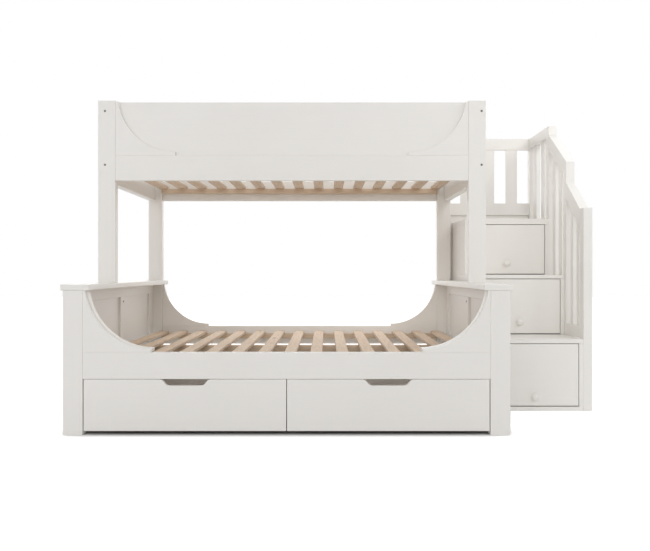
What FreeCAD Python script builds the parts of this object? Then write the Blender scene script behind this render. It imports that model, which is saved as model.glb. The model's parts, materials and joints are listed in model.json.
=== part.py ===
"""Twin-over-full bunk bed with two under-bed drawers and a storage stair at its right-hand end.

Millimetres, +Z up, +X along the beds towards the stair, +Y from the front to the wall.
The origin is on the floor under the middle of the whole object.
"""
import FreeCAD, Part
import math
import os

Vec = FreeCAD.Vector

# ---- driving dimensions: beds -------------------------------------------------------------
BED_LENGTH = 2020.0          # outer length of both beds
LOWER_DEPTH = 1471.0         # outer depth of the lower bed, front to wall
UPPER_DEPTH = 1013.0         # outer depth of the upper bed, measured from the wall
POST_WIDTH = 90.0            # posts, across the front
POST_DEPTH = 45.0            # posts, front to back
LOWER_POST_HEIGHT = 652.0
CAP_THICK = 27.0             # the boards on top of the lower ends
CAP_WIDTH = 132.0
CAP_OVERHANG = 12.0          # past the outer face of the end
UPPER_TOP = 1628.0           # top of the upper posts and of the level guard rails
RAIL_THICK = 25.0            # long side rails of both beds
RAIL_SET_BACK = 2.0          # of the rail face behind the post face
LOWER_RAIL_BOTTOM = 253.0
LOWER_RAIL_HEIGHT = 120.0
UPPER_RAIL_BOTTOM = 1212.0
UPPER_RAIL_HEIGHT = 130.0

# ---- lower ends: frames with sunk panels ----------------------------------------------------
END_THICK = 30.0
END_BOTTOM = 60.0            # gap under the end frame
END_TOP_RAIL = 59.0
END_BOTTOM_RAIL = 90.0
END_STILE = 88.0
END_MID_STILE_AT = 787.0     # middle of the middle stile, from the front
END_PANEL_THICK = 9.0
END_PANEL_SINK = 12.0        # panel face behind the inner face of the frame

# ---- curved corner brackets -----------------------------------------------------------------
BRACKET_RADIUS = 300.0
BRACKET_REACH = 307.0        # from the post to the tip
BRACKET_TIP = 16.0           # height of the blunt tip
FRONT_BRACKET_DEPTH = 70.0   # laminated front brackets
REAR_BRACKET_DEPTH = 28.0
GROOVE_AT = 22.0             # shadow groove round the curved edge
GROOVE_WIDTH = 9.0
GROOVE_DEPTH = 9.0
UPPER_BRACKET_REACH = 312.0
UPPER_BRACKET_TIP = 20.0
UPPER_BRACKET_THICK = 20.0

# ---- slats and what carries them ------------------------------------------------------------
SLAT_COUNT = 15
SLAT_WIDTH = 60.0
SLAT_THICK = 18.0
SLAT_END_CLEARANCE = 29.2    # from the end slat to the end frame of the upper bed
SLAT_END_GAP = 20.0          # between a slat and the rail, so that the end slats clear the posts
LOWER_SLAT_TOP = 342.0
UPPER_SLAT_TOP = 1306.0
LEDGER_HEIGHT = 31.0
LEDGER_WIDTH = 45.0
LEDGER_END_GAP = 3.0
BEAM_HEIGHT = 36.0           # centre beam under the lower slats
BEAM_WIDTH = 45.0
BEAM_LEG = 36.0
BEAM_SHOE_LENGTH = 60.0
BEAM_SHOE_HEIGHT = 30.0

# ---- upper guards ---------------------------------------------------------------------------
GUARD_DROP = 4.0             # top of the guards below the top of the posts
GUARD_PANEL_THICK = 18.0
UPPER_END_THICK = 45.0
UPPER_END_TOP_RAIL = 70.0
RIGHT_GUARD_END = 1018.0     # where the right-hand guard stops, from the front
GUARD_STILE = 60.0
PICKET_WIDTH = 74.0
PICKET_GAP = 79.0
PICKET_THICK = 20.0
REAR_TOP_RAIL = 74.0

# ---- bolts ----------------------------------------------------------------------------------
BOLT_INSET_LEFT = 36.0       # from the outer edge of the left-hand post
BOLT_INSET_RIGHT = 22.0
BOLT_BELOW_TOP = 54.0        # upper row, below the top of the posts
BOLT_ABOVE_RAIL = 82.0       # lower row, above the underside of the upper rails
BOLT_HEAD_RADIUS = 5.5
BOLT_POCKET_RADIUS = 5.8
BOLT_POCKET_DEPTH = 9.0
BOLT_HEAD_HEIGHT = 5.0
BOLT_SHANK_RADIUS = 3.0
BOLT_SHANK_LENGTH = 76.0
BOLT_HOLE_RADIUS = 3.3
BOLT_HOLE_LENGTH = 90.0      # from the face of the post
BOLT_AXIS = Vec(0, 1, 0)
BOLT_SOCKET = 5.0            # across the flats of the hexagon socket
END_SCREW_DROP = 85.0        # below the top of the lower posts
END_SCREW_HEAD = 2.0
COUPLER_RADIUS = 15.0

# ---- under-bed drawers ----------------------------------------------------------------------
BED_DRAWER_GAP = 3.5
BED_DRAWER_BOTTOM = 17.5     # front board above the floor
BED_DRAWER_TOP_GAP = 2.0
BED_DRAWER_SET_BACK = 4.0
BED_DRAWER_FRONT_THICK = 20.0
BED_BOX_INSET = 26.0         # box side inside the end of the front
BED_BOX_DEPTH = 1000.0
BED_BOX_BOTTOM = 44.0
BED_BOX_HEIGHT = 165.0
BED_BOX_WALL = 15.0
BED_BOX_FLOOR = 9.0
BED_BOX_FLOOR_RISE = 6.0
NOTCH_TOP_WIDTH = 210.0
NOTCH_BOTTOM_WIDTH = 165.0
NOTCH_DEPTH = 29.0
NOTCH_SHOULDER = 3.0         # bulge of the rounded shoulder from its chord
NOTCH_FOOT = 4.0             # bulge of the hollow at the notch's floor

# ---- castors --------------------------------------------------------------------------------
WHEEL_RADIUS = 19.0
WHEEL_WIDTH = 18.0
AXLE_RADIUS = 3.0
AXLE_CLEARANCE = 0.06
FORK_GAP = 0.8               # between wheel and fork cheek
FORK_THICK = 2.0
FORK_CHEEK = 22.0            # width of a cheek at the plate
FORK_FOOT = 13.0             # width of a cheek at its foot
CASTOR_PLATE = 46.0
CASTOR_INSET = 70.0          # from the side of the box to the wheel's middle
CASTOR_FRONT = 120.0         # axle behind the front board
CASTOR_REAR = 120.0          # axle in front of the box's back

# ---- stair ----------------------------------------------------------------------------------
STAIR_GAP = 16.0             # between the end of the bed and the stair
STAIR_SIDE_LEFT = 18.0
STAIR_OPENING = 473.0        # clear width for the drawers
STAIR_SIDE_RIGHT = 22.0
STEP_FRONTS = [512.0, 787.0, 1053.0]     # front plane of each step, from the bed's front
STEP_TOPS = [379.0, 719.0, 1062.0]
TREAD_THICKS = [22.0, 22.0, 36.0]
TREAD_NOSE_RADIUS = 3.0
STAIR_BASE_THICK = 22.0
STAIR_BACK_THICK = 12.0
STAIR_BACK_TOP = 1116.0
STEP_DRAWER_GAP = 3.0
STEP_DRAWER_BOTTOM_GAP = 5.0
STEP_DRAWER_SET_BACK = 2.0
STEP_FRONT_THICK = 20.0
STEP_BOX_DEPTHS = [600.0, 600.0, 350.0]
STEP_BOX_SIDE_GAP = 5.0
STEP_BOX_WALL = 15.0
STEP_BOX_FLOOR = 8.0
STEP_BOX_FLOOR_RISE = 8.0
STEP_BOX_DROP = 70.0         # top of the box below the top of its front
STEP_BOX_LIFT = 14.0
RUNNER_HEIGHT = 14.0
RUNNER_GROOVE = 8.0          # depth of the groove in the drawer's side
RUNNER_CLEARANCE = 0.3
RUNNER_SIDE_CLEARANCE = 0.6
KNOB_HEIGHTS = [76.0, 451.0, 790.0]
KNOB_RADIUS = 20.0
KNOB_NECK = 8.5              # radius of the neck
KNOB_NECK_LENGTH = 14.0
KNOB_RIM_WIDTH = 5.0
KNOB_FLAT = 10.0             # radius of the flat front
KNOB_LENGTH = 30.0

# ---- stair railing --------------------------------------------------------------------------
NEWEL_WIDTH = 48.0
RAIL_POST_DEPTH = 46.0
NEWEL_TOP = 1077.0
MODULE_FRONTS = [512.0, 762.0, 1054.0]
NEWEL_RISE = 5.0             # newel above the start of the first sloping rail
SLOPE_END_DROP = 53.0        # top end of the second sloping rail below the level rail
SLOPE_STARTS = [NEWEL_TOP - NEWEL_RISE, 1361.0]   # top of the sloping rail at its lower end
SLOPE_ENDS = [1241.0, UPPER_TOP - SLOPE_END_DROP]
SLOPE_RAIL_HEIGHT = 92.0     # measured straight down
LEVEL_RAIL_HEIGHT = 66.0
LOW_RAIL_HEIGHT = 66.0
LOW_RAIL_THICK = 40.0
BAR_WIDTHS = [38.0, 50.0, 66.0]
BAR_STARTS = [[40.0, 128.0], [54.0, 160.0], [69.0, 223.0]]    # bar fronts behind the module's post
BAR_THICK = 25.0
REAR_GUARD_THICK = 28.0
REAR_GUARD_LOW_RAIL = 79.0

# ---- soft edges -----------------------------------------------------------------------------
POST_EDGE = 2.0
CAP_EDGE = 5.0
FRONT_EDGE = 2.5

# ---- places worked out from the sizes ----------------------------------------------------------
STAIR_WIDTH = STAIR_SIDE_LEFT + STAIR_OPENING + STAIR_SIDE_RIGHT + NEWEL_WIDTH
OVERALL_LENGTH = CAP_OVERHANG + BED_LENGTH + STAIR_GAP + STAIR_WIDTH
X_BED_LEFT = -OVERALL_LENGTH / 2 + CAP_OVERHANG
X_BED_RIGHT = X_BED_LEFT + BED_LENGTH
X_BED_MIDDLE = (X_BED_LEFT + X_BED_RIGHT) / 2
X_STAIR = X_BED_RIGHT + STAIR_GAP
X_OPENING = X_STAIR + STAIR_SIDE_LEFT
X_OPENING_END = X_OPENING + STAIR_OPENING
X_RAILING = X_OPENING_END + STAIR_SIDE_RIGHT
X_RAILING_END = X_RAILING + NEWEL_WIDTH
X_POST_LEFT = X_BED_LEFT + POST_WIDTH        # inner edge of the left-hand posts
X_POST_RIGHT = X_BED_RIGHT - POST_WIDTH

Y_FRONT = -LOWER_DEPTH / 2
Y_WALL = LOWER_DEPTH / 2
Y_UPPER_FRONT = Y_WALL - UPPER_DEPTH
Y_REAR_POST = Y_WALL - POST_DEPTH

LOWER_RAIL_TOP = LOWER_RAIL_BOTTOM + LOWER_RAIL_HEIGHT
UPPER_RAIL_TOP = UPPER_RAIL_BOTTOM + UPPER_RAIL_HEIGHT
CAP_TOP = LOWER_POST_HEIGHT + CAP_THICK
GUARD_TOP = UPPER_TOP - GUARD_DROP
BOLT_UPPER_Z = UPPER_TOP - BOLT_BELOW_TOP
BOLT_LOWER_Z = UPPER_RAIL_BOTTOM + BOLT_ABOVE_RAIL
END_SCREW_Z = LOWER_POST_HEIGHT - END_SCREW_DROP
SLAT_ROW = BED_LENGTH - 2 * (UPPER_END_THICK + SLAT_END_CLEARANCE)
SLAT_PITCH = (SLAT_ROW - SLAT_WIDTH) / (SLAT_COUNT - 1)
X_BARS = X_RAILING + (NEWEL_WIDTH - BAR_THICK) / 2


def from_front(distance):
    """Y of a plane that lies this far behind the front of the lower bed."""
    return Y_FRONT + distance


# ---- helpers ------------------------------------------------------------------------------------
def board(x_low, x_high, y_low, y_high, z_low, z_high):
    return Part.makeBox(x_high - x_low, y_high - y_low, z_high - z_low, Vec(x_low, y_low, z_low))


def edges_along(shape, axis):
    """The straight edges that run along one axis."""
    found = []
    for edge in shape.Edges:
        start = edge.Vertexes[0].Point
        end = edge.Vertexes[-1].Point
        run = end - start
        if run.Length < 1e-6 or abs(edge.Length - run.Length) > 1e-6:
            continue
        if abs(run.dot(axis)) > 0.999 * run.Length:
            found.append(edge)
    return found


def ease(shape, width, axis):
    """Take the sharp edges off along the axis."""
    return shape.makeChamfer(width, edges_along(shape, axis))


def soften_where(shape, radius, test):
    """Round the edges whose middle passes the test."""
    return shape.makeFillet(radius, [edge for edge in shape.Edges if test(edge.CenterOfMass)])


def filled(edges):
    """The face inside a closed loop of edges."""
    return Part.Face(Part.Wire(Part.sortEdges(edges)[0]))


def plate_xz(edges, y_low, thickness):
    """Extrude a closed outline in the XZ plane towards +Y."""
    solid = filled(edges).extrude(Vec(0, thickness, 0))
    solid.translate(Vec(0, y_low, 0))
    return solid


def plate_yz(points, x_low, thickness):
    """Extrude a closed polygon of (y, z) corners towards +X."""
    corners = [Vec(x_low, y, z) for y, z in points]
    face = Part.Face(Part.makePolygon(corners + corners[:1]))
    return face.extrude(Vec(thickness, 0, 0))


def line(x_start, z_start, x_end, z_end):
    return Part.LineSegment(Vec(x_start, 0, z_start), Vec(x_end, 0, z_end)).toShape()


def mirror_x(shape, x_middle):
    return shape.mirror(Vec(x_middle, 0, 0), Vec(1, 0, 0))


def group(solids):
    """Several separate solids in one sub-part."""
    return solids[0] if len(solids) == 1 else Part.makeCompound(solids)


# ---- posts --------------------------------------------------------------------------------------
def post(x_low, y_low, z_low, z_high):
    solid = board(x_low, x_low + POST_WIDTH, y_low, y_low + POST_DEPTH, z_low, z_high)
    return ease(solid, POST_EDGE, Vec(0, 0, 1))


def bolt_pocket(x, z):
    """A counterbored hole from the face of an upper front post into the end rail behind it."""
    start = Vec(x, Y_UPPER_FRONT, z)
    pocket = Part.makeCylinder(BOLT_POCKET_RADIUS, BOLT_POCKET_DEPTH, start, BOLT_AXIS)
    return pocket.fuse(Part.makeCylinder(BOLT_HOLE_RADIUS, BOLT_HOLE_LENGTH, start, BOLT_AXIS))


def bolt(x, z):
    """A bolt whose head sits at the bottom of its counterbore, with a hexagon socket."""
    seat = Vec(x, Y_UPPER_FRONT + BOLT_POCKET_DEPTH, z)
    head_face = seat - BOLT_AXIS * BOLT_HEAD_HEIGHT
    head = Part.makeCylinder(BOLT_HEAD_RADIUS, BOLT_HEAD_HEIGHT, head_face, BOLT_AXIS)
    shank = Part.makeCylinder(BOLT_SHANK_RADIUS, BOLT_SHANK_LENGTH, seat, BOLT_AXIS)
    corner = BOLT_SOCKET / math.sqrt(3)
    ring = []
    for step in range(7):
        angle = math.radians(60 * step)
        ring.append(head_face + Vec(corner * math.cos(angle), 0, corner * math.sin(angle)))
    socket = Part.Face(Part.makePolygon(ring)).extrude(BOLT_AXIS * (BOLT_HEAD_HEIGHT / 2))
    return head.fuse(shank).cut(socket)


def bolt_places():
    """X and Z of the bolts through the upper front posts."""
    columns = (X_BED_LEFT + BOLT_INSET_LEFT, X_BED_RIGHT - BOLT_INSET_RIGHT)
    return [(x, z) for x in columns for z in (BOLT_LOWER_Z, BOLT_UPPER_Z)]


def drilled(solid):
    for x, z in bolt_places():
        hole = bolt_pocket(x, z)
        if solid.BoundBox.intersect(hole.BoundBox):
            solid = solid.cut(hole)
    return solid


def lower_posts():
    made = {}
    for side, x_low in (("left", X_BED_LEFT), ("right", X_POST_RIGHT)):
        made["lower_post_front_" + side] = post(x_low, Y_FRONT, 0, LOWER_POST_HEIGHT)
        made["lower_post_rear_" + side] = post(x_low, Y_REAR_POST, 0, LOWER_POST_HEIGHT)
    return made


def upper_posts():
    made = {}
    for side, x_low in (("left", X_BED_LEFT), ("right", X_POST_RIGHT)):
        for row, y_low in (("front", Y_UPPER_FRONT), ("rear", Y_REAR_POST)):
            solid = post(x_low, y_low, CAP_TOP, UPPER_TOP)
            made["upper_post_" + row + "_" + side] = drilled(solid)
    return made


# ---- frames with sunk panels --------------------------------------------------------------------
def sunk_frame(x_low, thick, y_low, y_high, z_low, z_high, stiles, top, bottom, sink_from, sink):
    """Rails, stiles and the thin panels between them, all standing in one YZ plane.

    stiles holds (start, width) pairs along Y; sink_from is +1 or -1, the side the panels sink from.
    """
    solids = [board(x_low, x_low + thick, y_low, y_high, z_high - top, z_high),
              board(x_low, x_low + thick, y_low, y_high, z_low, z_low + bottom)]
    for start, width in stiles:
        solids.append(board(x_low, x_low + thick, start, start + width, z_low + bottom, z_high - top))
    x_panel = x_low + thick - sink - END_PANEL_THICK if sink_from > 0 else x_low + sink
    for (start, width), (next_start, _) in zip(stiles, stiles[1:]):
        solids.append(board(x_panel, x_panel + END_PANEL_THICK, start + width, next_start,
                            z_low + bottom, z_high - top))
    return solids


def lower_ends():
    y_low = Y_FRONT + POST_DEPTH
    stiles = [(y_low, END_STILE), (from_front(END_MID_STILE_AT) - END_STILE / 2, END_STILE),
              (Y_REAR_POST - END_STILE, END_STILE)]
    made = {}
    for side, x_low, inward in (("left", X_BED_LEFT, 1), ("right", X_BED_RIGHT - END_THICK, -1)):
        solids = sunk_frame(x_low, END_THICK, y_low, Y_REAR_POST, END_BOTTOM, LOWER_POST_HEIGHT,
                            stiles, END_TOP_RAIL, END_BOTTOM_RAIL, inward, END_PANEL_SINK)
        made["lower_end_" + side] = group(solids)
    return made


def cap_boards():
    solids = []
    for x_low in (X_BED_LEFT - CAP_OVERHANG, X_BED_RIGHT + CAP_OVERHANG - CAP_WIDTH):
        cap = board(x_low, x_low + CAP_WIDTH, Y_FRONT, Y_WALL, LOWER_POST_HEIGHT, CAP_TOP)
        solids.append(soften_where(cap, CAP_EDGE, lambda middle: middle.z > CAP_TOP - 1))
    return group(solids)


# ---- long rails ---------------------------------------------------------------------------------
def rail(y_low, z_low, height):
    return board(X_POST_LEFT, X_POST_RIGHT, y_low, y_low + RAIL_THICK, z_low, z_low + height)


def long_rails():
    y_rear = Y_WALL - RAIL_SET_BACK - RAIL_THICK
    return {
        "lower_front_rail": rail(Y_FRONT + RAIL_SET_BACK, LOWER_RAIL_BOTTOM, LOWER_RAIL_HEIGHT),
        "lower_rear_rail": rail(y_rear, LOWER_RAIL_BOTTOM, LOWER_RAIL_HEIGHT),
        "upper_front_rail": rail(Y_UPPER_FRONT + RAIL_SET_BACK, UPPER_RAIL_BOTTOM, UPPER_RAIL_HEIGHT),
        "upper_rear_rail": rail(y_rear, UPPER_RAIL_BOTTOM, UPPER_RAIL_HEIGHT),
    }


# ---- curved corner brackets ---------------------------------------------------------------------
def bracket_outline(x_post, z_low, z_high, reach, tip, radius):
    """Outline of a left-hand bracket: a square corner with a hollow round edge."""
    x_tip = x_post + reach
    z_centre = z_low + tip + radius
    rise = min(max(z_centre - z_high, 0.0), radius)
    x_top = x_tip - math.sqrt(radius ** 2 - rise ** 2)
    angle_top = math.atan2(z_high - z_centre, x_top - x_tip)
    angle_middle = (angle_top - math.pi / 2 - (2 * math.pi if angle_top > 0 else 0)) / 2
    middle = Vec(x_tip + radius * math.cos(angle_middle), 0, z_centre + radius * math.sin(angle_middle))
    arc = Part.Arc(Vec(x_top, 0, z_high), middle, Vec(x_tip, 0, z_low + tip)).toShape()
    return [line(x_post, z_high, x_post, z_low), line(x_post, z_low, x_tip, z_low),
            line(x_tip, z_low, x_tip, z_low + tip), arc, line(x_top, z_high, x_post, z_high)]


def front_bracket():
    """Laminated bracket with a groove round its curved edge and a block that fills the corner."""
    outline = bracket_outline(X_POST_LEFT, LOWER_RAIL_TOP, LOWER_POST_HEIGHT,
                              BRACKET_REACH, BRACKET_TIP, BRACKET_RADIUS)
    solid = plate_xz(outline, Y_FRONT + RAIL_SET_BACK, FRONT_BRACKET_DEPTH)
    centre = Vec(X_POST_LEFT + BRACKET_REACH, Y_FRONT + GROOVE_AT,
                 LOWER_RAIL_TOP + BRACKET_TIP + BRACKET_RADIUS)
    groove = Part.makeCylinder(BRACKET_RADIUS + GROOVE_DEPTH, GROOVE_WIDTH, centre, Vec(0, 1, 0))
    keep = board(centre.x - 2 * BRACKET_RADIUS, centre.x - GROOVE_DEPTH, centre.y, centre.y + GROOVE_WIDTH,
                 LOWER_RAIL_TOP, LOWER_POST_HEIGHT)
    solid = solid.cut(groove.common(keep))
    y_back = Y_FRONT + RAIL_SET_BACK + FRONT_BRACKET_DEPTH
    block = board(X_BED_LEFT + END_THICK, X_POST_LEFT, Y_FRONT + POST_DEPTH, y_back,
                  LOWER_RAIL_TOP, LOWER_POST_HEIGHT)
    return solid.fuse(block).removeSplitter()


def lower_brackets():
    outline = bracket_outline(X_POST_LEFT, LOWER_RAIL_TOP, LOWER_POST_HEIGHT,
                              BRACKET_REACH, BRACKET_TIP, BRACKET_RADIUS)
    front = front_bracket()
    rear = plate_xz(outline, Y_WALL - RAIL_SET_BACK - REAR_BRACKET_DEPTH, REAR_BRACKET_DEPTH)
    return {
        "lower_front_brackets": group([front, mirror_x(front, X_BED_MIDDLE)]),
        "lower_rear_brackets": group([rear, mirror_x(rear, X_BED_MIDDLE)]),
    }


def upper_brackets():
    outline = bracket_outline(X_POST_LEFT, UPPER_RAIL_TOP, GUARD_TOP,
                              UPPER_BRACKET_REACH, UPPER_BRACKET_TIP, BRACKET_RADIUS)
    left = plate_xz(outline, Y_UPPER_FRONT + RAIL_SET_BACK, UPPER_BRACKET_THICK)
    return group([left, mirror_x(left, X_BED_MIDDLE)])


# ---- upper ends and guards ----------------------------------------------------------------------
def upper_end_rails():
    solids = []
    for x_low in (X_BED_LEFT, X_BED_RIGHT - UPPER_END_THICK):
        solid = board(x_low, x_low + UPPER_END_THICK, Y_UPPER_FRONT + POST_DEPTH, Y_REAR_POST,
                      UPPER_RAIL_BOTTOM, UPPER_RAIL_TOP)
        solids.append(drilled(solid))
    return group(solids)


def upper_front_guard():
    y_low = Y_UPPER_FRONT + RAIL_SET_BACK + UPPER_BRACKET_THICK
    y_high = y_low + GUARD_PANEL_THICK
    return board(X_POST_LEFT, X_POST_RIGHT, y_low, y_high, UPPER_RAIL_TOP, GUARD_TOP)


def upper_end_guard(x_low, y_high, sink_from):
    y_low = Y_UPPER_FRONT + POST_DEPTH
    stiles = [(y_low, GUARD_STILE), (y_high - GUARD_STILE, GUARD_STILE)]
    solids = sunk_frame(x_low, UPPER_END_THICK, y_low, y_high, UPPER_RAIL_TOP, GUARD_TOP, stiles,
                        UPPER_END_TOP_RAIL, GUARD_STILE / 2, sink_from, END_PANEL_SINK)
    return group([drilled(solid) for solid in solids])


def picket_row(x_low, x_high, y_low, z_low, z_high):
    """Upright boards with even gaps that just fill a width."""
    count = int((x_high - x_low - PICKET_GAP) // (PICKET_WIDTH + PICKET_GAP))
    gap = (x_high - x_low - count * PICKET_WIDTH) / (count + 1)
    solids = []
    for index in range(count):
        x = x_low + gap + index * (PICKET_WIDTH + gap)
        solids.append(board(x, x + PICKET_WIDTH, y_low, y_low + PICKET_THICK, z_low, z_high))
    return solids


def upper_rear_guard():
    y_low = Y_WALL - RAIL_SET_BACK - RAIL_THICK
    top_rail = board(X_POST_LEFT, X_POST_RIGHT, y_low, y_low + RAIL_THICK,
                     UPPER_TOP - REAR_TOP_RAIL, UPPER_TOP)
    pickets = picket_row(X_POST_LEFT, X_POST_RIGHT, y_low, UPPER_RAIL_TOP, UPPER_TOP - REAR_TOP_RAIL)
    return group([top_rail] + pickets)


# ---- slats --------------------------------------------------------------------------------------
def slats(y_front, slat_top):
    """A row of slats from rail to rail; y_front is the inner face of the front rail."""
    y_rear = Y_WALL - RAIL_SET_BACK - RAIL_THICK
    solids = []
    for index in range(SLAT_COUNT):
        x = X_BED_MIDDLE + (index - (SLAT_COUNT - 1) / 2) * SLAT_PITCH
        solids.append(board(x - SLAT_WIDTH / 2, x + SLAT_WIDTH / 2, y_front + SLAT_END_GAP,
                            y_rear - SLAT_END_GAP, slat_top - SLAT_THICK, slat_top))
    return group(solids)


def ledgers(y_front, slat_top):
    z_high = slat_top - SLAT_THICK
    y_rear = Y_WALL - RAIL_SET_BACK - RAIL_THICK
    x_low = X_POST_LEFT + LEDGER_END_GAP
    x_high = X_POST_RIGHT - LEDGER_END_GAP
    return [board(x_low, x_high, y_front, y_front + LEDGER_WIDTH, z_high - LEDGER_HEIGHT, z_high),
            board(x_low, x_high, y_rear - LEDGER_WIDTH, y_rear, z_high - LEDGER_HEIGHT, z_high)]


def centre_beam():
    """Beam under the middle of the lower slats, its leg between the drawers and its end shoes."""
    z_high = LOWER_SLAT_TOP - SLAT_THICK
    z_low = z_high - BEAM_HEIGHT
    x_low = X_BED_LEFT + END_THICK
    x_high = X_BED_RIGHT - END_THICK
    half = BEAM_WIDTH / 2
    solids = [board(x_low, x_high, -half, half, z_low, z_high)]
    solids.append(board(X_BED_MIDDLE - BEAM_LEG / 2, X_BED_MIDDLE + BEAM_LEG / 2, -half, half, 0, z_low))
    z_shoe = z_low - BEAM_SHOE_HEIGHT
    solids.append(board(x_low, x_low + BEAM_SHOE_LENGTH, -half, half, z_shoe, z_low))
    solids.append(board(x_high - BEAM_SHOE_LENGTH, x_high, -half, half, z_shoe, z_low))
    return group(solids)


# ---- bolts --------------------------------------------------------------------------------------
def joint_bolts():
    """Bed bolts, the screws in the middle stiles and the spacers that hold the stair off the bed."""
    solids = [bolt(*place) for place in bolt_places()]
    for x_face, direction in ((X_BED_LEFT + END_THICK, -1), (X_BED_RIGHT - END_THICK, 1)):
        centre = Vec(x_face, from_front(END_MID_STILE_AT), END_SCREW_Z)
        solids.append(Part.makeCylinder(BOLT_HEAD_RADIUS, END_SCREW_HEAD, centre, Vec(-direction, 0, 0)))
    for y, z in coupler_places():
        solids.append(Part.makeCylinder(COUPLER_RADIUS, STAIR_GAP, Vec(X_BED_RIGHT, y, z), Vec(1, 0, 0)))
    return group(solids)


def coupler_places():
    y_front = from_front(STEP_FRONTS[0]) + POST_DEPTH
    z_low = END_BOTTOM + END_BOTTOM_RAIL / 2
    return [(y_front, z_low), (Y_WALL - POST_DEPTH / 2, z_low)]


# ---- under-bed drawers --------------------------------------------------------------------------
def notch_outline(x_middle, z_top):
    """Closed outline of the finger notch: rounded shoulders above a flat, filleted floor."""
    z_floor = z_top - NOTCH_DEPTH
    half_top = NOTCH_TOP_WIDTH / 2
    half_low = NOTCH_BOTTOM_WIDTH / 2
    x_shift = half_top - half_low
    arcs = []
    for side in (-1, 1):
        high = Vec(x_middle + side * half_top, 0, z_top)
        low = Vec(x_middle + side * half_low, 0, z_floor)
        middle = (high + low) * 0.5
        lean = math.hypot(x_shift, NOTCH_DEPTH)
        normal = Vec(side * NOTCH_DEPTH / lean, 0, -x_shift / lean)
        upper_mid = (high + middle) * 0.5 - normal * NOTCH_SHOULDER
        lower_mid = (low + middle) * 0.5 + normal * NOTCH_FOOT
        arcs.append(Part.Arc(high, upper_mid, middle).toShape())
        arcs.append(Part.Arc(middle, lower_mid, low).toShape())
    x_low = x_middle - half_top
    x_high = x_middle + half_top
    return arcs + [line(x_middle - half_low, z_floor, x_middle + half_low, z_floor),
                   line(x_low, z_top, x_high, z_top)]


def bed_drawer_width():
    return (X_POST_RIGHT - X_POST_LEFT - 3 * BED_DRAWER_GAP) / 2


def bed_drawer_front(x_low):
    z_high = LOWER_RAIL_BOTTOM - BED_DRAWER_TOP_GAP
    y_low = Y_FRONT + BED_DRAWER_SET_BACK
    x_high = x_low + bed_drawer_width()
    solid = board(x_low, x_high, y_low, y_low + BED_DRAWER_FRONT_THICK, BED_DRAWER_BOTTOM, z_high)
    notch = plate_xz(notch_outline((x_low + x_high) / 2, z_high), y_low - 1, BED_DRAWER_FRONT_THICK + 2)
    return solid.cut(notch)


def open_box(x_low, x_high, y_low, y_high, z_low, z_high, wall, floor, rise):
    """Drawer box as separate boards: two sides, an inner front, a back and a floor between them."""
    return [board(x_low, x_low + wall, y_low, y_high, z_low, z_high),
            board(x_high - wall, x_high, y_low, y_high, z_low, z_high),
            board(x_low + wall, x_high - wall, y_low, y_low + wall, z_low, z_high),
            board(x_low + wall, x_high - wall, y_high - wall, y_high, z_low, z_high),
            board(x_low + wall, x_high - wall, y_low + wall, y_high - wall, z_low + rise, z_low + rise + floor)]


def bed_box_bounds(x_low):
    """Outer x and y limits of an under-bed drawer's box."""
    y_low = Y_FRONT + BED_DRAWER_SET_BACK + BED_DRAWER_FRONT_THICK
    return x_low + BED_BOX_INSET, x_low + bed_drawer_width() - BED_BOX_INSET, y_low, y_low + BED_BOX_DEPTH


def castor_places(x_low):
    """Axle middles of the front pair and of the rear pair."""
    x_left, x_right, y_low, y_high = bed_box_bounds(x_low)
    rows = []
    for y in (y_low + CASTOR_FRONT, y_high - CASTOR_REAR):
        rows.append([(x_left + CASTOR_INSET, y), (x_right - CASTOR_INSET, y)])
    return rows


def wheel(x, y):
    """Wheel with a bore that runs on the axle."""
    start = Vec(x - WHEEL_WIDTH / 2, y, WHEEL_RADIUS)
    solid = Part.makeCylinder(WHEEL_RADIUS, WHEEL_WIDTH, start, Vec(1, 0, 0))
    return solid.cut(Part.makeCylinder(AXLE_RADIUS + AXLE_CLEARANCE, WHEEL_WIDTH, start, Vec(1, 0, 0)))


def castor(x, y):
    """Plate, two tapered cheeks and the axle of one fixed castor, fused as its pressed and riveted body."""
    z_plate = BED_BOX_BOTTOM + BED_BOX_FLOOR_RISE
    z_cheek = z_plate - FORK_THICK
    z_foot = WHEEL_RADIUS - FORK_FOOT / 2
    plate_half = CASTOR_PLATE / 2
    solid = board(x - plate_half, x + plate_half, y - plate_half, y + plate_half, z_cheek, z_plate)
    inner = WHEEL_WIDTH / 2 + FORK_GAP
    cheek = [(y - FORK_CHEEK / 2, z_cheek), (y - FORK_FOOT / 2, z_foot),
             (y + FORK_FOOT / 2, z_foot), (y + FORK_CHEEK / 2, z_cheek)]
    for x_cheek in (x - inner - FORK_THICK, x + inner):
        solid = solid.fuse(plate_yz(cheek, x_cheek, FORK_THICK))
    reach = inner + FORK_THICK
    axle = Part.makeCylinder(AXLE_RADIUS, 2 * reach, Vec(x - reach, y, WHEEL_RADIUS), Vec(1, 0, 0))
    return solid.fuse(axle).removeSplitter()


def bed_drawers():
    made = {}
    first = X_POST_LEFT + BED_DRAWER_GAP
    for side, x_low in (("left", first), ("right", first + bed_drawer_width() + BED_DRAWER_GAP)):
        name = "bed_drawer_" + side
        x_left, x_right, y_low, y_high = bed_box_bounds(x_low)
        made[name + "_front"] = bed_drawer_front(x_low)
        made[name + "_box"] = group(open_box(x_left, x_right, y_low, y_high, BED_BOX_BOTTOM,
                                             BED_BOX_BOTTOM + BED_BOX_HEIGHT, BED_BOX_WALL,
                                             BED_BOX_FLOOR, BED_BOX_FLOOR_RISE))
        rows = castor_places(x_low)
        made[name + "_castors"] = group([castor(x, y) for row in rows for x, y in row])
        for row_name, row in zip(("front", "rear"), rows):
            made[name + "_wheels_" + row_name] = group([wheel(x, y) for x, y in row])
    return made


# ---- stair carcass ------------------------------------------------------------------------------
def y_carcass_end():
    return Y_WALL - STAIR_BACK_THICK


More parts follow.
